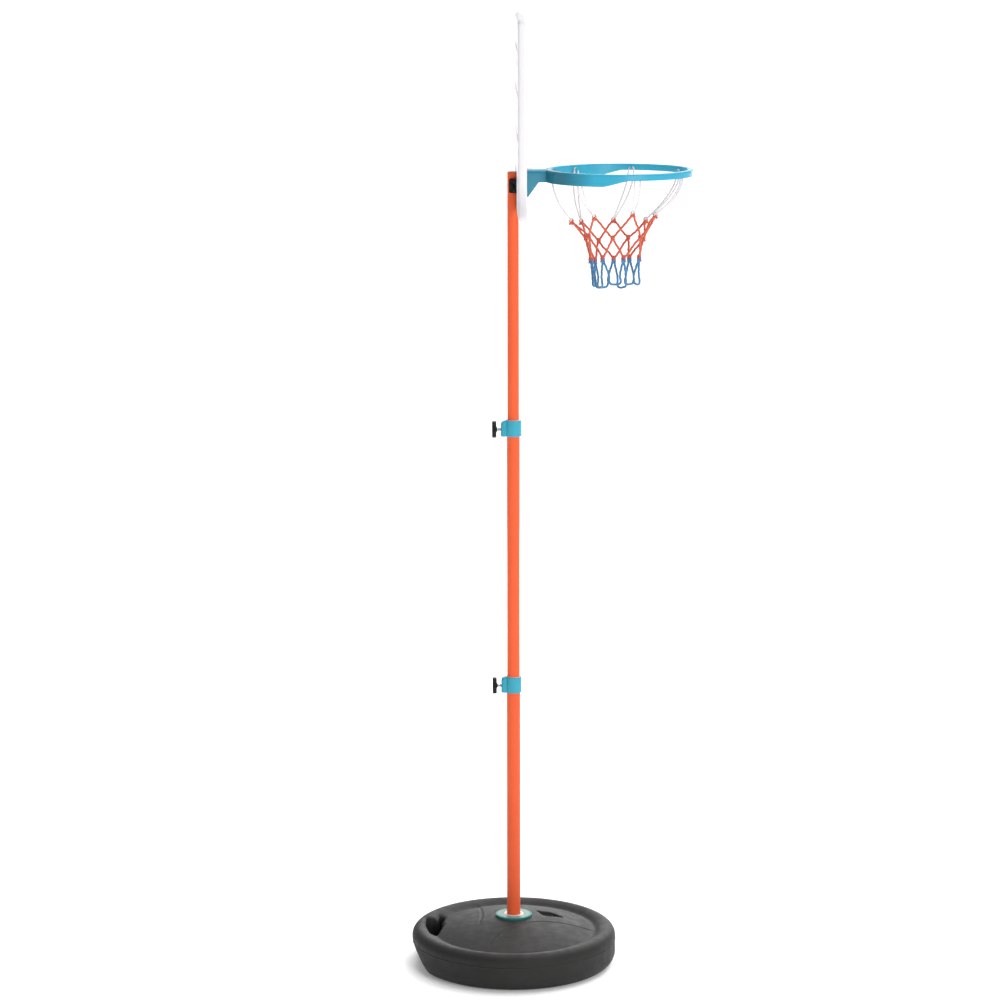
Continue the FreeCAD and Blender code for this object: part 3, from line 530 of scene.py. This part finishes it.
def seam_depth(x, y):
    """Depth of the two soft seams, like a ball's, that are moulded into the dome."""
    depth = np.zeros_like(x)
    for points in SEAM_PATHS:
        path = smooth_path([(px, py, 0) for px, py in points], 2.0)
        spots = np.array([(p.x, p.y) for p in path])
        gap = np.full(x.shape, 1e6)
        place = np.zeros(x.shape)
        for k, (px, py) in enumerate(spots):
            away = np.hypot(x - px, y - py)
            closer = away < gap
            gap = np.where(closer, away, gap)
            place = np.where(closer, k / (len(spots) - 1), place)
        ends = np.clip(np.minimum(place, 1.0 - place) / 0.06, 0.0, 1.0)
        groove = np.exp(-(gap / SEAM_HALF_WIDTH) ** 2) - 0.22 * np.exp(-((gap - 5.5) / 2.4) ** 2)
        depth += SEAM_DEPTH * groove * ends
    return depth


def prism(name, distance, centre, levels):
    """A cutter with the outline where the distance is nil, limited at each level by a wall."""
    outline = []
    for k in range(120):
        turn = 2 * math.pi * k / 120
        near, far = 0.0, 80.0
        for _ in range(30):
            reach = (near + far) / 2
            spot = (centre[0] + reach * math.cos(turn), centre[1] + reach * math.sin(turn))
            inside = distance(np.array(spot[0]), np.array(spot[1])) < 0
            near, far = (reach, far) if inside else (near, reach)
        outline.append(spot)
    verts = []
    for z, limit in levels:
        verts += [(max(x, limit) * MM, y * MM, z * MM) for x, y in outline]
    faces = rows_to_faces(len(levels), len(outline))
    last = (len(levels) - 1) * len(outline)
    faces.append(tuple(reversed(range(len(outline)))))
    faces.append(tuple(range(last, last + len(outline))))
    return add_object(name, verts, faces)


def carve(target, cutters, operation="DIFFERENCE"):
    """Cuts the cutters out of the target, or joins them to it, and closes hairline slits."""
    for cutter in cutters:
        cut = target.modifiers.new(cutter.name, "BOOLEAN")
        cut.object = cutter
        cut.operation = operation
        cut.solver = "EXACT"
    graph = bpy.context.evaluated_depsgraph_get()
    mesh = bpy.data.meshes.new_from_object(target.evaluated_get(graph))
    target.modifiers.clear()
    target.data = mesh
    for cutter in cutters:
        bpy.data.objects.remove(cutter)
    shape = bmesh.new()
    shape.from_mesh(mesh)
    slits = [edge for edge in shape.edges if edge.is_boundary]
    bmesh.ops.holes_fill(shape, edges=slits)
    shape.to_mesh(mesh)
    shape.free()


def finish_carved(piece, material, body, replaced):
    """Gives a carved piece its material, body and the node it stands for."""
    piece.data.materials.clear()
    piece.data.materials.append(material)
    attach(piece, body)
    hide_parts(replaced)


def build_tank():
    """The tank: a turned section with the grip flat, seams and rounded openings worked in."""
    run, dome_start, dome_end = tank_profile()
    turn = 2 * np.pi * np.arange(TANK_COLUMNS) / TANK_COLUMNS
    r = np.repeat(run[:, 0:1], TANK_COLUMNS, axis=1)
    z = np.repeat(run[:, 1:2], TANK_COLUMNS, axis=1)
    on_side = (r > SIDE_R - 0.01) & (z > RIDGE_Z - 10) & (z < RIDGE_Z + 6)
    r = np.where(on_side, r + RIDGE * np.exp(-((z - RIDGE_Z) / RIDGE_WIDTH) ** 2), r)
    towards_grip = np.maximum(-np.cos(turn), 1e-3)[None, :]
    limit = grip_limit(z) / towards_grip
    foot = (z < 0.01) & (r >= FOOT_INNER_R)
    shrink = (np.minimum(limit, FOOT_R) - FOOT_INNER_R) / (FOOT_R - FOOT_INNER_R)
    r = np.where(foot, FOOT_INNER_R + (r - FOOT_INNER_R) * shrink,
                 np.where(r > FOOT_INNER_R, blended(r, limit, GRIP_SOFTNESS), r))
    x, y = r * np.cos(turn)[None, :], r * np.sin(turn)[None, :]
    top = np.zeros_like(r, dtype=bool)
    top[dome_start:dome_end] = True
    sunk = seam_depth(x, y) * np.clip((z - 62.0) / 5.0, 0.0, 1.0)
    for distance, (reach, drop) in ((hand_distance(x, y), HAND_EDGE),
                                    (filler_distance(x, y), FILLER_EDGE)):
        sunk = sunk + drop * np.clip(1.0 - distance / reach, 0.0, 1.0) ** 2
    z = np.where(top, z - sunk, z)
    verts = np.stack([x, y, z], axis=-1).reshape(-1, 3) * MM
    tank = add_object("tank_shell", verts, rows_to_faces(len(run), TANK_COLUMNS, close_rows=True))
    hand_levels = [(level, HAND_WALL - float(grip_limit(np.array(max(level, 0.0)))))
                   for level in HAND_WALL_ZS] + [(CUT_TOP_Z, NO_WALL)]
    cutters = [prism("hand_cutter", hand_distance, HAND_CENTRE, hand_levels),
               prism("filler_cutter", filler_distance, FILLER_PLACE,
                     [(FILLER_FLOOR_Z, NO_WALL), (CUT_TOP_Z, NO_WALL)]),
               prism("bore_cutter", bore_distance, FILLER_PLACE,
                     [(z, NO_WALL) for z in FILLER_BORE_ZS])]
    carve(tank, cutters)
    finish_carved(tank, TANK, "base", "base_tank")


# ---------------------------------------------------------------- hub, collars and knobs
def lathe(section, columns, reshape=None, closed=True):
    """Turns a section of radii and heights, in millimetres, round the vertical axis."""
    verts = []
    for r, z in section:
        for k in range(columns):
            turn = 2 * math.pi * k / columns
            radius = reshape(r, z, turn) if reshape else r
            verts.append((radius * math.cos(turn), radius * math.sin(turn), z))
    faces = rows_to_faces(len(section), columns, close_rows=closed)
    if not closed:
        last = (len(section) - 1) * columns
        faces.append(tuple(reversed(range(columns))))
        faces.append(tuple(range(last, last + columns)))
    return verts, faces


def placed(verts, shift=(0, 0, 0), along_x=False):
    """Millimetre points moved into place in metres, optionally with up turned to -X."""
    moved = []
    for x, y, z in verts:
        spot = (-z, y, x) if along_x else (x, y, z)
        moved.append(tuple((a + b) * MM for a, b in zip(spot, shift)))
    return moved


def round_corner(corner, before, after, radius, count=5):
    """Points that round a section's corner."""
    corner, before, after = (Vector((*p, 0)) for p in (corner, before, after))
    start = corner + (before - corner).normalized() * radius
    end = corner + (after - corner).normalized() * radius
    points = []
    for k in range(count + 1):
        t = k / count
        p = start * (1 - t) ** 2 + corner * (2 * t * (1 - t)) + end * t * t
        points.append((p.x, p.y))
    return points


def rounded_section(corners):
    """A closed section from (radius, height, rounding) corners."""
    points = []
    for k, (r, z, soft) in enumerate(corners):
        before = corners[k - 1][:2]
        after = corners[(k + 1) % len(corners)][:2]
        points += round_corner((r, z), before, after, soft) if soft else [(r, z)]
    return points


HUB_BORE_R = 20.65
HUB_GROOVE_R = 33.7


def build_hub():
    """The hub ring, with a fine groove near its rounded edge."""
    low, high = HUB_LOW_Z / MM, HUB_TOP_Z / MM
    outer, inner = HUB_R / MM, HUB_BORE_R
    section = rounded_section([(inner, low, 0), (outer, low, 0.3), (outer, high, 1.9),
                               (HUB_GROOVE_R + 0.5, high, 0.3), (HUB_GROOVE_R, high - 0.5, 0.2),
                               (HUB_GROOVE_R - 0.5, high, 0.3),
                               (inner, high, 0.6)])
    verts, faces = lathe(section, 192)
    add_piece("hub_ring", placed(verts), faces, HUB, "base", ["hub_flange"])


# Sizes of the collars, screws and knobs, in millimetres.
COLLAR_R, COLLAR_TALL = 16.4, 32.0
COLLAR_PLAY = 0.05
MOUTH_R, MOUTH_DEPTH = 14.4, 7.0
LUG_REACH, LUG_HALF = 24.5, 9.0
LUG_POWER = 7            # how square the lug's outline is
LUG_SOFTNESS = 1.6
SHOULDER_TALL = 6.5
SCREW_HOLE_R = 3.4
NUT_SLOT_X, NUT_SLOT_HALF = (-21.8, -17.6), 5.2
SCREW_R, SCREW_END_R = 3.0, 2.3
THREAD_ROWS_APART = 0.2
KNOB_R, KNOB_THICKNESS = 16.5, 8.5
KNOB_FLUTES, FLUTE_DEPTH, FLUTE_START_R = 9, 1.5, 10.5


def build_collar(name, collar, low_z, screw_z, tube_r, body):
    """A clamp collar whose lug swells out of its barrel under a sloping shoulder."""
    def reshape(r, z, turn):
        if r < COLLAR_R - 1.7:
            return r
        away = abs(math.atan2(math.sin(turn - math.pi), math.cos(turn - math.pi)))
        if away > 1.3:
            return r
        shoulder = min(1.0, max(0.0, (COLLAR_TALL - 0.8 - z) / SHOULDER_TALL))
        reach = LUG_REACH - 0.3 * (COLLAR_R - r)
        reach = r + (reach - r) * math.sqrt(1 - (1 - shoulder) ** 2)
        box = ((math.cos(away) / reach) ** LUG_POWER
               + (math.sin(away) / LUG_HALF) ** LUG_POWER) ** (-1 / LUG_POWER)
        h = min(1.0, max(0.0, 0.5 + 0.5 * (box - r) / LUG_SOFTNESS))
        return r + (box - r) * h + LUG_SOFTNESS * h * (1 - h) * (0.5 if box < r else 1.0) * 0.6

    bore, mouth_z = tube_r + COLLAR_PLAY, COLLAR_TALL - MOUTH_DEPTH
    section = divided(rounded_section(
        [(bore, 0.0, 0.3), (COLLAR_R, 0.0, 1.3), (COLLAR_R, COLLAR_TALL, 1.6),
         (MOUTH_R, COLLAR_TALL, 0.4), (MOUTH_R, mouth_z, 0), (bore, mouth_z, 0)]), 1.4)
    verts, faces = lathe(section, 224, reshape)
    obj = add_object(name, placed(verts, (0, 0, low_z)), faces)
    hole, hole_faces = lathe([(SCREW_HOLE_R, 0.0), (SCREW_HOLE_R, 20.0)], 40, closed=False)
    screw_hole = add_object("screw_hole", placed(hole, (-12.0, 0, screw_z), True), hole_faces)
    slot, slot_faces = block(NUT_SLOT_X, (-NUT_SLOT_HALF, NUT_SLOT_HALF),
                             (low_z - 5.0, screw_z + NUT_SLOT_HALF))
    nut_slot = add_object("nut_slot", placed(slot), slot_faces)
    carve(obj, [screw_hole, nut_slot])
    finish_carved(obj, TEAL, body, collar)


def divided(section, step):
    """A closed section with its long sides divided into steps."""
    points = []
    for (r0, z0), (r1, z1) in zip(section, section[1:] + section[:1]):
        count = max(1, round(math.hypot(r1 - r0, z1 - z0) / step))
        points += [(r0 + (r1 - r0) * k / count, z0 + (z1 - z0) * k / count) for k in range(count)]
    return points


def screw_mesh(start_x, end_x, z):
    """A threaded rod of 1 mm pitch from its knob to its tip."""
    length = end_x - start_x
    steps = int(round(length / THREAD_ROWS_APART))
    section = [(SCREW_END_R, 0.0)]
    section += [(SCREW_R, 0.4 + (length - 0.8) * k / steps) for k in range(steps + 1)]
    section += [(SCREW_END_R, length)]

    def thread(r, along, turn):
        return r - 0.17 + 0.15 * math.cos(2 * math.pi * along - turn) if r > 2.9 else r

    verts, faces = lathe(section, 24, thread, closed=False)
    return placed(verts, (end_x, 0, z), True), faces


def knob_mesh(face_x, z):
    """A round knob with nine finger flutes, a dished face and a small boss."""
    section = [(1.0, 7.3), (7.6, 7.3), (8.6, 7.6), (9.6, KNOB_THICKNESS)]
    section += round_corner((KNOB_R, KNOB_THICKNESS), section[-1], (KNOB_R, 0.0), 2.6, 6)
    section += [(KNOB_R, 5.0), (KNOB_R, 4.0), (KNOB_R, 3.0)]
    section += round_corner((KNOB_R, 0.0), (KNOB_R, KNOB_THICKNESS), (5.0, 0.0), 1.9, 6)
    section += [(11.0, 0.0), (5.6, 0.0), (5.2, -0.5), (4.6, -1.4), (4.2, -1.6), (3.1, -1.6),
                (3.1, 5.9), (1.0, 5.9)]

    def flutes(r, along, turn):
        if r < FLUTE_START_R:
            return r
        grip = max(0.0, math.cos(KNOB_FLUTES * turn)) ** 3
        return r - FLUTE_DEPTH * grip * min(1.0, (r - FLUTE_START_R) / 4.0)

    verts, faces = lathe(section, 252, flutes, closed=False)
    return placed(verts, (face_x, 0, z), True), faces


def build_clamps():
    """Both clamps: a collar, its threaded screw and its knob."""
    for name, tube, fixed, turning in (("lower", "lower_tube", "base", "lower_knob"),
                                       ("upper", "middle_tube", "middle_pole", "upper_knob")):
        low_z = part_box(name + "_collar")[0].z / MM
        middle_z = middle(name + "_clamp_screw").z / MM
        tube_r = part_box(tube)[1].x / MM
        build_collar(name + "_clamp_body", name + "_collar", low_z, middle_z, tube_r, fixed)
        low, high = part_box(name + "_clamp_screw")
        verts, faces = screw_mesh(low.x / MM, high.x / MM, middle_z)
        add_piece(name + "_thread", verts, faces, ZINC, turning,
                  [name + "_clamp_screw"], 50.0)
        low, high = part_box(name + "_clamp_knob")
        verts, faces = knob_mesh(low.x / MM + KNOB_THICKNESS, middle_z)
        add_piece(name + "_grip", verts, faces, BLACK, turning,
                  [name + "_clamp_knob"], 45.0)


# ---------------------------------------------------------------- rim
# Heights in the rim's sections are above its deep lower edge, in millimetres.
RIM_DEEP = 24.0
RIM_SHALLOW = 12.5
RIM_WALL = 2.5
RING_WIDTH = 12.3
STEP_X = (169.0, 219.0)
ARM_X = (23.5, 76.0)
ARM_HALF = (28.0, 25.0)
ARM_SHOULDER = 8.0
GUSSET_X = (28.5, 49.5)
RIB_END_X, RIB_HALF = 66.0, 1.25
HOOK_THICKNESS_HALF, HOOK_WIDTH_HALF = 1.15, 3.0
HOOK_REACH = 6.9         # inwards from the root of each hook
PLATE_HALF = 30.0
PLATE_THICKNESS = 4.0
PLATE_TALL = 53.0
RIM_BOLT_Y = 20.0
RIM_BOLT_Z = (-15.5, 1.0)
RIM_BOLT_HOLE_R = 2.75
NET_HOOKS = 7
RING_COLUMNS = 320


def share_of(value, low, high):
    return min(1.0, max(0.0, (value - low) / (high - low)))


def block(x, y, z):
    """A box between pairs of limits."""
    verts = [(a, b, c) for a in x for b in y for c in z]
    return verts, [(0, 1, 3, 2), (4, 6, 7, 5), (0, 4, 5, 1), (2, 3, 7, 6), (0, 2, 6, 4),
                   (1, 5, 7, 3)]


def swept_rows(rows):
    """A solid through closed sections that have the same number of points."""
    faces = rows_to_faces(len(rows), len(rows[0]))
    last = (len(rows) - 1) * len(rows[0])
    faces.append(tuple(reversed(range(len(rows[0])))))
    faces.append(tuple(range(last, last + len(rows[0]))))
    return [spot for row in rows for spot in row], faces


def ring_mesh():
    """An inverted channel, deep towards the board and shallow at the front."""
    outer = RING_R / MM
    inner = outer - RING_WIDTH
    under = RIM_DEEP - RIM_WALL
    section = divided(rounded_section(
        [(inner, 0.0, 0.7), (inner, RIM_DEEP, 2.8), (outer, RIM_DEEP, 3.6), (outer, 0.0, 0.9),
         (outer - RIM_WALL, 0.0, 0.7), (outer - RIM_WALL, under, 1.2),
         (inner + RIM_WALL, under, 1.2), (inner + RIM_WALL, 0.0, 0.7)]), 2.5)
    verts = []
    for r, z in section:
        held = share_of(z, 19.0, 3.0)
        for k in range(RING_COLUMNS):
            turn = 2 * math.pi * k / RING_COLUMNS
            x = RING_X / MM + r * math.cos(turn)
            t = share_of(x, *STEP_X)
            lift = (RIM_DEEP - RIM_SHALLOW) * (0.7 * t + 0.3 * t * t * (3 - 2 * t))
            verts.append((x, r * math.sin(turn), z + lift * held))
    return verts, rows_to_faces(len(section), RING_COLUMNS, close_rows=True)


def arm_mesh():
    """The arm: a crowned top and two walls that run down to the plate as gussets."""
    rows = []
    under = RIM_DEEP - RIM_WALL
    for k in range(28):
        x = ARM_X[0] + 1.0 + (ARM_X[1] - ARM_X[0] - 1.0) * k / 27
        half = ARM_HALF[0] + (ARM_HALF[1] - ARM_HALF[0]) * share_of(x, *ARM_X)
        low = (RIM_DEEP - PLATE_TALL) * share_of(x, GUSSET_X[1], GUSSET_X[0])
        inside = half - RIM_WALL
        section = rounded_section([(-half, low, 0.7), (-half, RIM_DEEP, ARM_SHOULDER),
                                   (half, RIM_DEEP, ARM_SHOULDER), (half, low, 0.7),
                                   (inside, low, 0.5), (inside, under, 0.9),
                                   (-inside, under, 0.9), (-inside, low, 0.5)])
        rows.append([(x, y, z) for y, z in section])
    return swept_rows(rows)


def plate_mesh():
    """The plate that is bolted to the board, with a bevelled front edge."""
    rows = []
    for x, inset in ((0.0, 0.0), (PLATE_THICKNESS - 0.7, 0.0), (PLATE_THICKNESS - 0.2, 0.2),
                     (PLATE_THICKNESS, 0.7)):
        half, low, high = PLATE_HALF - inset, RIM_DEEP - PLATE_TALL + inset, RIM_DEEP - inset
        section = rounded_section([(-half, low, 3.0), (-half, high, 3.0), (half, high, 3.0),
                                   (half, low, 3.0)])
        rows.append([(ARM_X[0] + x, y, z) for y, z in section])
    return swept_rows(rows)


def hook_mesh(turn):
    """An upturned hook on the inside of the ring."""
    low = RIM_DEEP - RIM_SHALLOW + 1.7
    root = RING_R / MM - RING_WIDTH + 1.0
    tip = root - HOOK_REACH
    path = [(root, low), (tip + 1.7, low), (tip + 0.5, low + 0.5), (tip, low + 1.7),
            (tip, low + 5.0), (tip + 0.05, low + 5.8)]
    rows = []
    for i, (r, z) in enumerate(path):
        (r0, z0), (r1, z1) = path[max(i - 1, 0)], path[min(i + 1, len(path) - 1)]
        slope = math.atan2(z1 - z0, r1 - r0)
        half, thick = HOOK_WIDTH_HALF, HOOK_THICKNESS_HALF
        if i == len(path) - 1:
            half, thick = half - 0.7, thick - 0.45
        section = rounded_section([(-half, -thick, 0.5), (-half, thick, 0.5), (half, thick, 0.5),
                                   (half, -thick, 0.5)])
        row = []
        for side, out in section:
            reach, height = r - out * math.sin(slope), z + out * math.cos(slope)
            row.append((RING_X / MM + reach * math.cos(turn) - side * math.sin(turn),
                        reach * math.sin(turn) + side * math.cos(turn), height))
        rows.append(row)
    return swept_rows(rows)


def build_rim():
    """The rim as one moulding: ring, arm, plate, middle rib and seven hooks, then its holes."""
    base = (0, 0, RING_TOP_Z / MM - RIM_DEEP)

    def solid(name, mesh):
        return add_object(name, placed(mesh[0], base), mesh[1])

    arm = solid("arm", arm_mesh())
    clear_r = RING_R / MM - 3.8
    clear, clear_faces = lathe([(clear_r, -60.0), (clear_r, 60.0)], 240, closed=False)
    clear = [(x + RING_X / MM, y, z) for x, y, z in clear]
    carve(arm, [solid("ring_space", (clear, clear_faces))])
    rim = solid("rim_moulding", ring_mesh())
    rib = block((ARM_X[0] + 3.0, RIB_END_X), (-RIB_HALF, RIB_HALF), (6.0, RIM_DEEP - 1.0))
    parts = [arm, solid("plate", plate_mesh()), solid("rib", rib)]
    parts += [solid("hook", hook_mesh(math.pi + 2 * math.pi * k / NET_HOOKS))
              for k in range(NET_HOOKS)]
    carve(rim, parts, "UNION")
    holes = []
    for y in (-RIM_BOLT_Y, RIM_BOLT_Y):
        for z in RIM_BOLT_Z:
            hole, faces = lathe([(RIM_BOLT_HOLE_R, 0.0), (RIM_BOLT_HOLE_R, 20.0)], 40, closed=False)
            hole = [(ARM_X[0] - 5.0 + up, y + b, z + a) for a, b, up in hole]
            holes.append(solid("bolt_hole", (hole, faces)))
    carve(rim, holes)
    finish_carved(rim, RIM_TEAL_PAINTED_SHADE, "head", "rim")


# ---------------------------------------------------------------- net
CORD_R = 2.4 * MM
WHITE_R = 1.9 * MM
HOOK_BED_R = RING_R - 14.7 * MM
HOOK_BED_Z = RING_TOP_Z - 7.6 * MM
HOOK_HALF = 4.6 * MM
NET_X = middle("net_blue").x
KNOT_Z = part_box("net_white")[0].z
JOIN_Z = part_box("net_orange")[0].z
LOOP_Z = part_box("net_blue")[0].z

# How much further out and higher the net hangs for each millimetre towards the near side,
# and how far a knot may stray from that along each axis.
NET_SKEW = 0.24
NET_TILT = 0.17
NET_STRAY = 5.5 * MM

# Centre and radius of the rows of knots, joins and loops.
KNOT_X, KNOT_ROW_R = 196.0 * MM, 79.0 * MM
CROSS_ROW_R = 59.0 * MM
CROSS_Z = (KNOT_Z + JOIN_Z) / 2 + 2 * MM
JOIN_ROW_R = 46.0 * MM
LOOP_ROW_R = 42.0 * MM
PATH_STEP = 1.1 * MM     # between the points along a cord


def hook_angle(k):
    return math.pi - 2 * math.pi * k / NET_HOOKS


def net_row(centre_x, radius, z, half_step, seed):
    """Seven points round a circle that leans with the net."""
    rough = random.Random(seed)
    spots = []
    for k in range(NET_HOOKS):
        turn = hook_angle(k + half_step)
        across = radius * math.sin(turn)
        even = Vector((centre_x + radius * math.cos(turn) - NET_SKEW * across, across,
                       z - NET_TILT * across))
        spots.append(even + Vector([rough.uniform(-1, 1) for _ in range(3)]) * NET_STRAY)
    return spots


def knot(centre, along, reach, cord_r):
    """A small overhand knot: a trefoil of cord with its axis along the strand."""
    along = along.normalized()
    across = along.orthogonal().normalized()
    other = along.cross(across)
    path = []
    for i in range(49):
        t = 2 * math.pi * i / 48
        u = (math.sin(t) + 2 * math.sin(2 * t)) / 3
        v = (math.cos(t) - 2 * math.cos(2 * t)) / 3
        w = -math.sin(3 * t) / 2.2
        path.append(centre + (across * u + other * w + along * v) * reach)
    return laid_cord(path, cord_r)


def strand(points, seed, stray=0.8 * MM, cord_r=CORD_R):
    """A cord through the points, with slight irregular waves between them."""
    rough = random.Random(seed)
    shaken = [Vector(points[0])]
    for a, b in zip(points, points[1:]):
        a, b = Vector(a), Vector(b)
        for part in (1 / 3, 2 / 3):
            stir = Vector([rough.uniform(-1, 1) for _ in range(3)])
            shaken.append(a.lerp(b, part) + stir * stray)
        shaken.append(b)
    return laid_cord(smooth_path(shaken, PATH_STEP), cord_r)


def white_loop(k, spot):
    """The loop that hangs on a hook and ends in a knot."""
    turn = hook_angle(k)
    out = Vector((math.cos(turn), math.sin(turn), 0))
    side = Vector((-math.sin(turn), math.cos(turn), 0))
    bed = Vector((RING_X, 0, HOOK_BED_Z)) + out * HOOK_BED_R
    legs = []
    for sign in (1, -1):
        top = bed + side * (sign * HOOK_HALF) - Vector((0, 0, 2.5 * MM))
        drop = top.z - spot.z
        bulge = out * (3.0 * MM) + side * (sign * 1.5 * MM)
        upper = top.lerp(spot, 0.12) + bulge
        upper.z = top.z - 0.28 * drop
        lower = top.lerp(spot, 0.50) + bulge * 1.6
        lower.z = top.z - 0.64 * drop
        legs.append([top, upper, lower, spot + side * (sign * 1.2 * MM)])
    over = bed + Vector((0, 0, 0.6 * MM))
    path = list(reversed(legs[0])) + [over] + legs[1]
    return laid_cord(smooth_path(path, PATH_STEP), WHITE_R)


def build_net():
    """Seven white loops, two rows of orange diamonds and a row of blue loops."""
    knots = net_row(KNOT_X, KNOT_ROW_R, KNOT_Z, 0, 51)
    crosses = net_row(NET_X, CROSS_ROW_R, CROSS_Z, 0.5, 52)
    joins = net_row(NET_X, JOIN_ROW_R, JOIN_Z, 0, 53)
    bottoms = net_row(NET_X, LOOP_ROW_R, LOOP_Z, 0.5, 54)
    white, orange, blue = [], [], []
    down = Vector((0, 0, -1))
    for k in range(NET_HOOKS):
        following = (k + 1) % NET_HOOKS
        white.append(white_loop(k, knots[k]))
        white.append(knot(knots[k] + Vector((0, 0, 1.5 * MM)), down, 3.9 * MM, WHITE_R * 0.9))
        orange.append(knot(knots[k] - Vector((0, 0, 2.5 * MM)), down, 4.8 * MM, CORD_R))
        orange.append(knot(crosses[k], down, 4.1 * MM, CORD_R * 0.9))
        orange.append(strand((knots[k], crosses[k]), 10 + k, 1.6 * MM))
        orange.append(strand((knots[following], crosses[k]), 20 + k, 1.6 * MM))
        orange.append(strand((crosses[k], joins[k]), 30 + k, 1.4 * MM))
        orange.append(strand((crosses[k], joins[following]), 40 + k, 1.4 * MM))
        orange.append(knot(joins[k] + Vector((0, 0, 2.0 * MM)), down, 3.8 * MM, CORD_R * 0.9))
        blue.append(knot(joins[k] - Vector((0, 0, 2.5 * MM)), down, 4.4 * MM, CORD_R))
        a, b, low = joins[k], joins[following], bottoms[k]
        belly = (b - a) * 0.24
        left = a.lerp(low, 0.62) - belly * 0.35
        right = b.lerp(low, 0.62) + belly * 0.35
        path = [a, left, low - belly, low + belly, right, b]
        blue.append(laid_cord(smooth_path(path, PATH_STEP), CORD_R))
    for name, parts, material in (("white", white, WHITE_CORD), ("orange", orange, ORANGE_CORD),
                                  ("blue", blue, BLUE_CORD)):
        verts, faces = joined(parts)
        add_piece("net_cords_" + name, verts, faces, material, "head",
                  ["net_" + name], 70.0)


# ---------------------------------------------------------------- surroundings
WORLD_LEFT, WORLD_RIGHT = 0.26, 0.58   # strength of the surrounding light on either side
FLOOR_R, FLOOR_SIDES = 150.0, 96
FLOOR_GLOW = 0.16        # the pale floor is lit a little from within


def build_stage():
    """A wide pale floor that runs on to the horizon, and soft white light."""
    turns = [2 * math.pi * k / FLOOR_SIDES for k in range(FLOOR_SIDES)]
    verts = [(FLOOR_R * math.cos(turn), FLOOR_R * math.sin(turn), 0.0) for turn in turns]
    floor = add_object("floor", verts, [tuple(range(FLOOR_SIDES))])
    material, tree, shader = new_material("floor")
    dust = noise(tree, 3.0, 3.0)
    tree.links.new(tinted(tree, dust, (0.96, 0.96, 0.96), (0.98, 0.98, 0.98)),
                   shader.inputs["Base Color"])
    shader.inputs["Roughness"].default_value = 0.75
    shader.inputs["Specular IOR Level"].default_value = 0.1
    shader.inputs["Emission Color"].default_value = (1.0, 1.0, 1.0, 1.0)
    shader.inputs["Emission Strength"].default_value = FLOOR_GLOW
    floor.data.materials.append(material)

    world = bpy.data.worlds.new("studio")
    bpy.context.scene.world = world
    world.use_nodes = True
    tree = world.node_tree
    background = tree.nodes["Background"]
    background.inputs["Color"].default_value = (1.0, 1.0, 1.0, 1.0)
    direction = node(tree, "ShaderNodeTexCoord").outputs["Generated"]
    across = node(tree, "ShaderNodeSeparateXYZ", {"Vector": direction}).outputs["X"]
    tree.links.new(ramp(tree, across, WORLD_LEFT, WORLD_RIGHT, -0.9, 0.9),
                   background.inputs["Strength"])


def aimed(name, data, place, target):
    """A light in place, pointed at its target."""
    lamp = bpy.data.objects.new(name, data)
    bpy.context.scene.collection.objects.link(lamp)
    lamp.location = place
    lamp.rotation_euler = (Vector(target) - Vector(place)).to_track_quat("-Z", "Y").to_euler()


def soft_box(name, place, target, width, power):
    data = bpy.data.lights.new(name, "AREA")
    data.shape = "RECTANGLE"
    data.size, data.size_y = width
    data.energy = power
    aimed(name, data, place, target)


def build_lights():
    """A broad overhead light, a soft box in front and one behind that glances off the tank."""
    data = bpy.data.lights.new("overhead", "SUN")
    data.energy = 2.8
    data.angle = math.radians(60)
    aimed("overhead", data, (1.0, 1.5, 4.0), (0, 0, 0))
    soft_box("front", (1.5, -3.2, 1.9), (0.0, 0.0, 1.2), (1.4, 1.4), 44.0)
    soft_box("glance", (1.0, 4.2, 1.5), (0.0, 0.0, 0.1), (3.6, 1.6), 80.0)


CAMERA_PLACE = (-0.0711, -6.38, 2.107)
CAMERA_PITCH = 10.25     # degrees down
CAMERA_YAW = 0.4007      # degrees towards +X
CAMERA_ROLL = -0.0965    # degrees
CAMERA_LENS = 117.54     # millimetres on a 36 mm sensor


def build_camera():
    data = bpy.data.cameras.new("camera")
    data.lens = CAMERA_LENS
    data.sensor_width = 36.0
    data.clip_end = 500.0
    camera = bpy.data.objects.new("camera", data)
    bpy.context.scene.collection.objects.link(camera)
    pitch, yaw = math.radians(CAMERA_PITCH), math.radians(CAMERA_YAW)
    ahead = Vector((math.sin(yaw) * math.cos(pitch), math.cos(yaw) * math.cos(pitch),
                    -math.sin(pitch)))
    turn = ahead.to_track_quat("-Z", "Y").to_matrix().to_4x4()
    roll = turn.Rotation(math.radians(CAMERA_ROLL), 4, "Z")
    camera.matrix_world = turn.Translation(CAMERA_PLACE) @ turn @ roll
    bpy.context.scene.camera = camera
    bpy.context.scene.view_settings.view_transform = "Standard"


# ---------------------------------------------------------------- build
dress_cad_nodes()
build_tank()
build_hub()
build_clamps()
build_rim()
build_net()
build_stage()
build_lights()
build_camera()
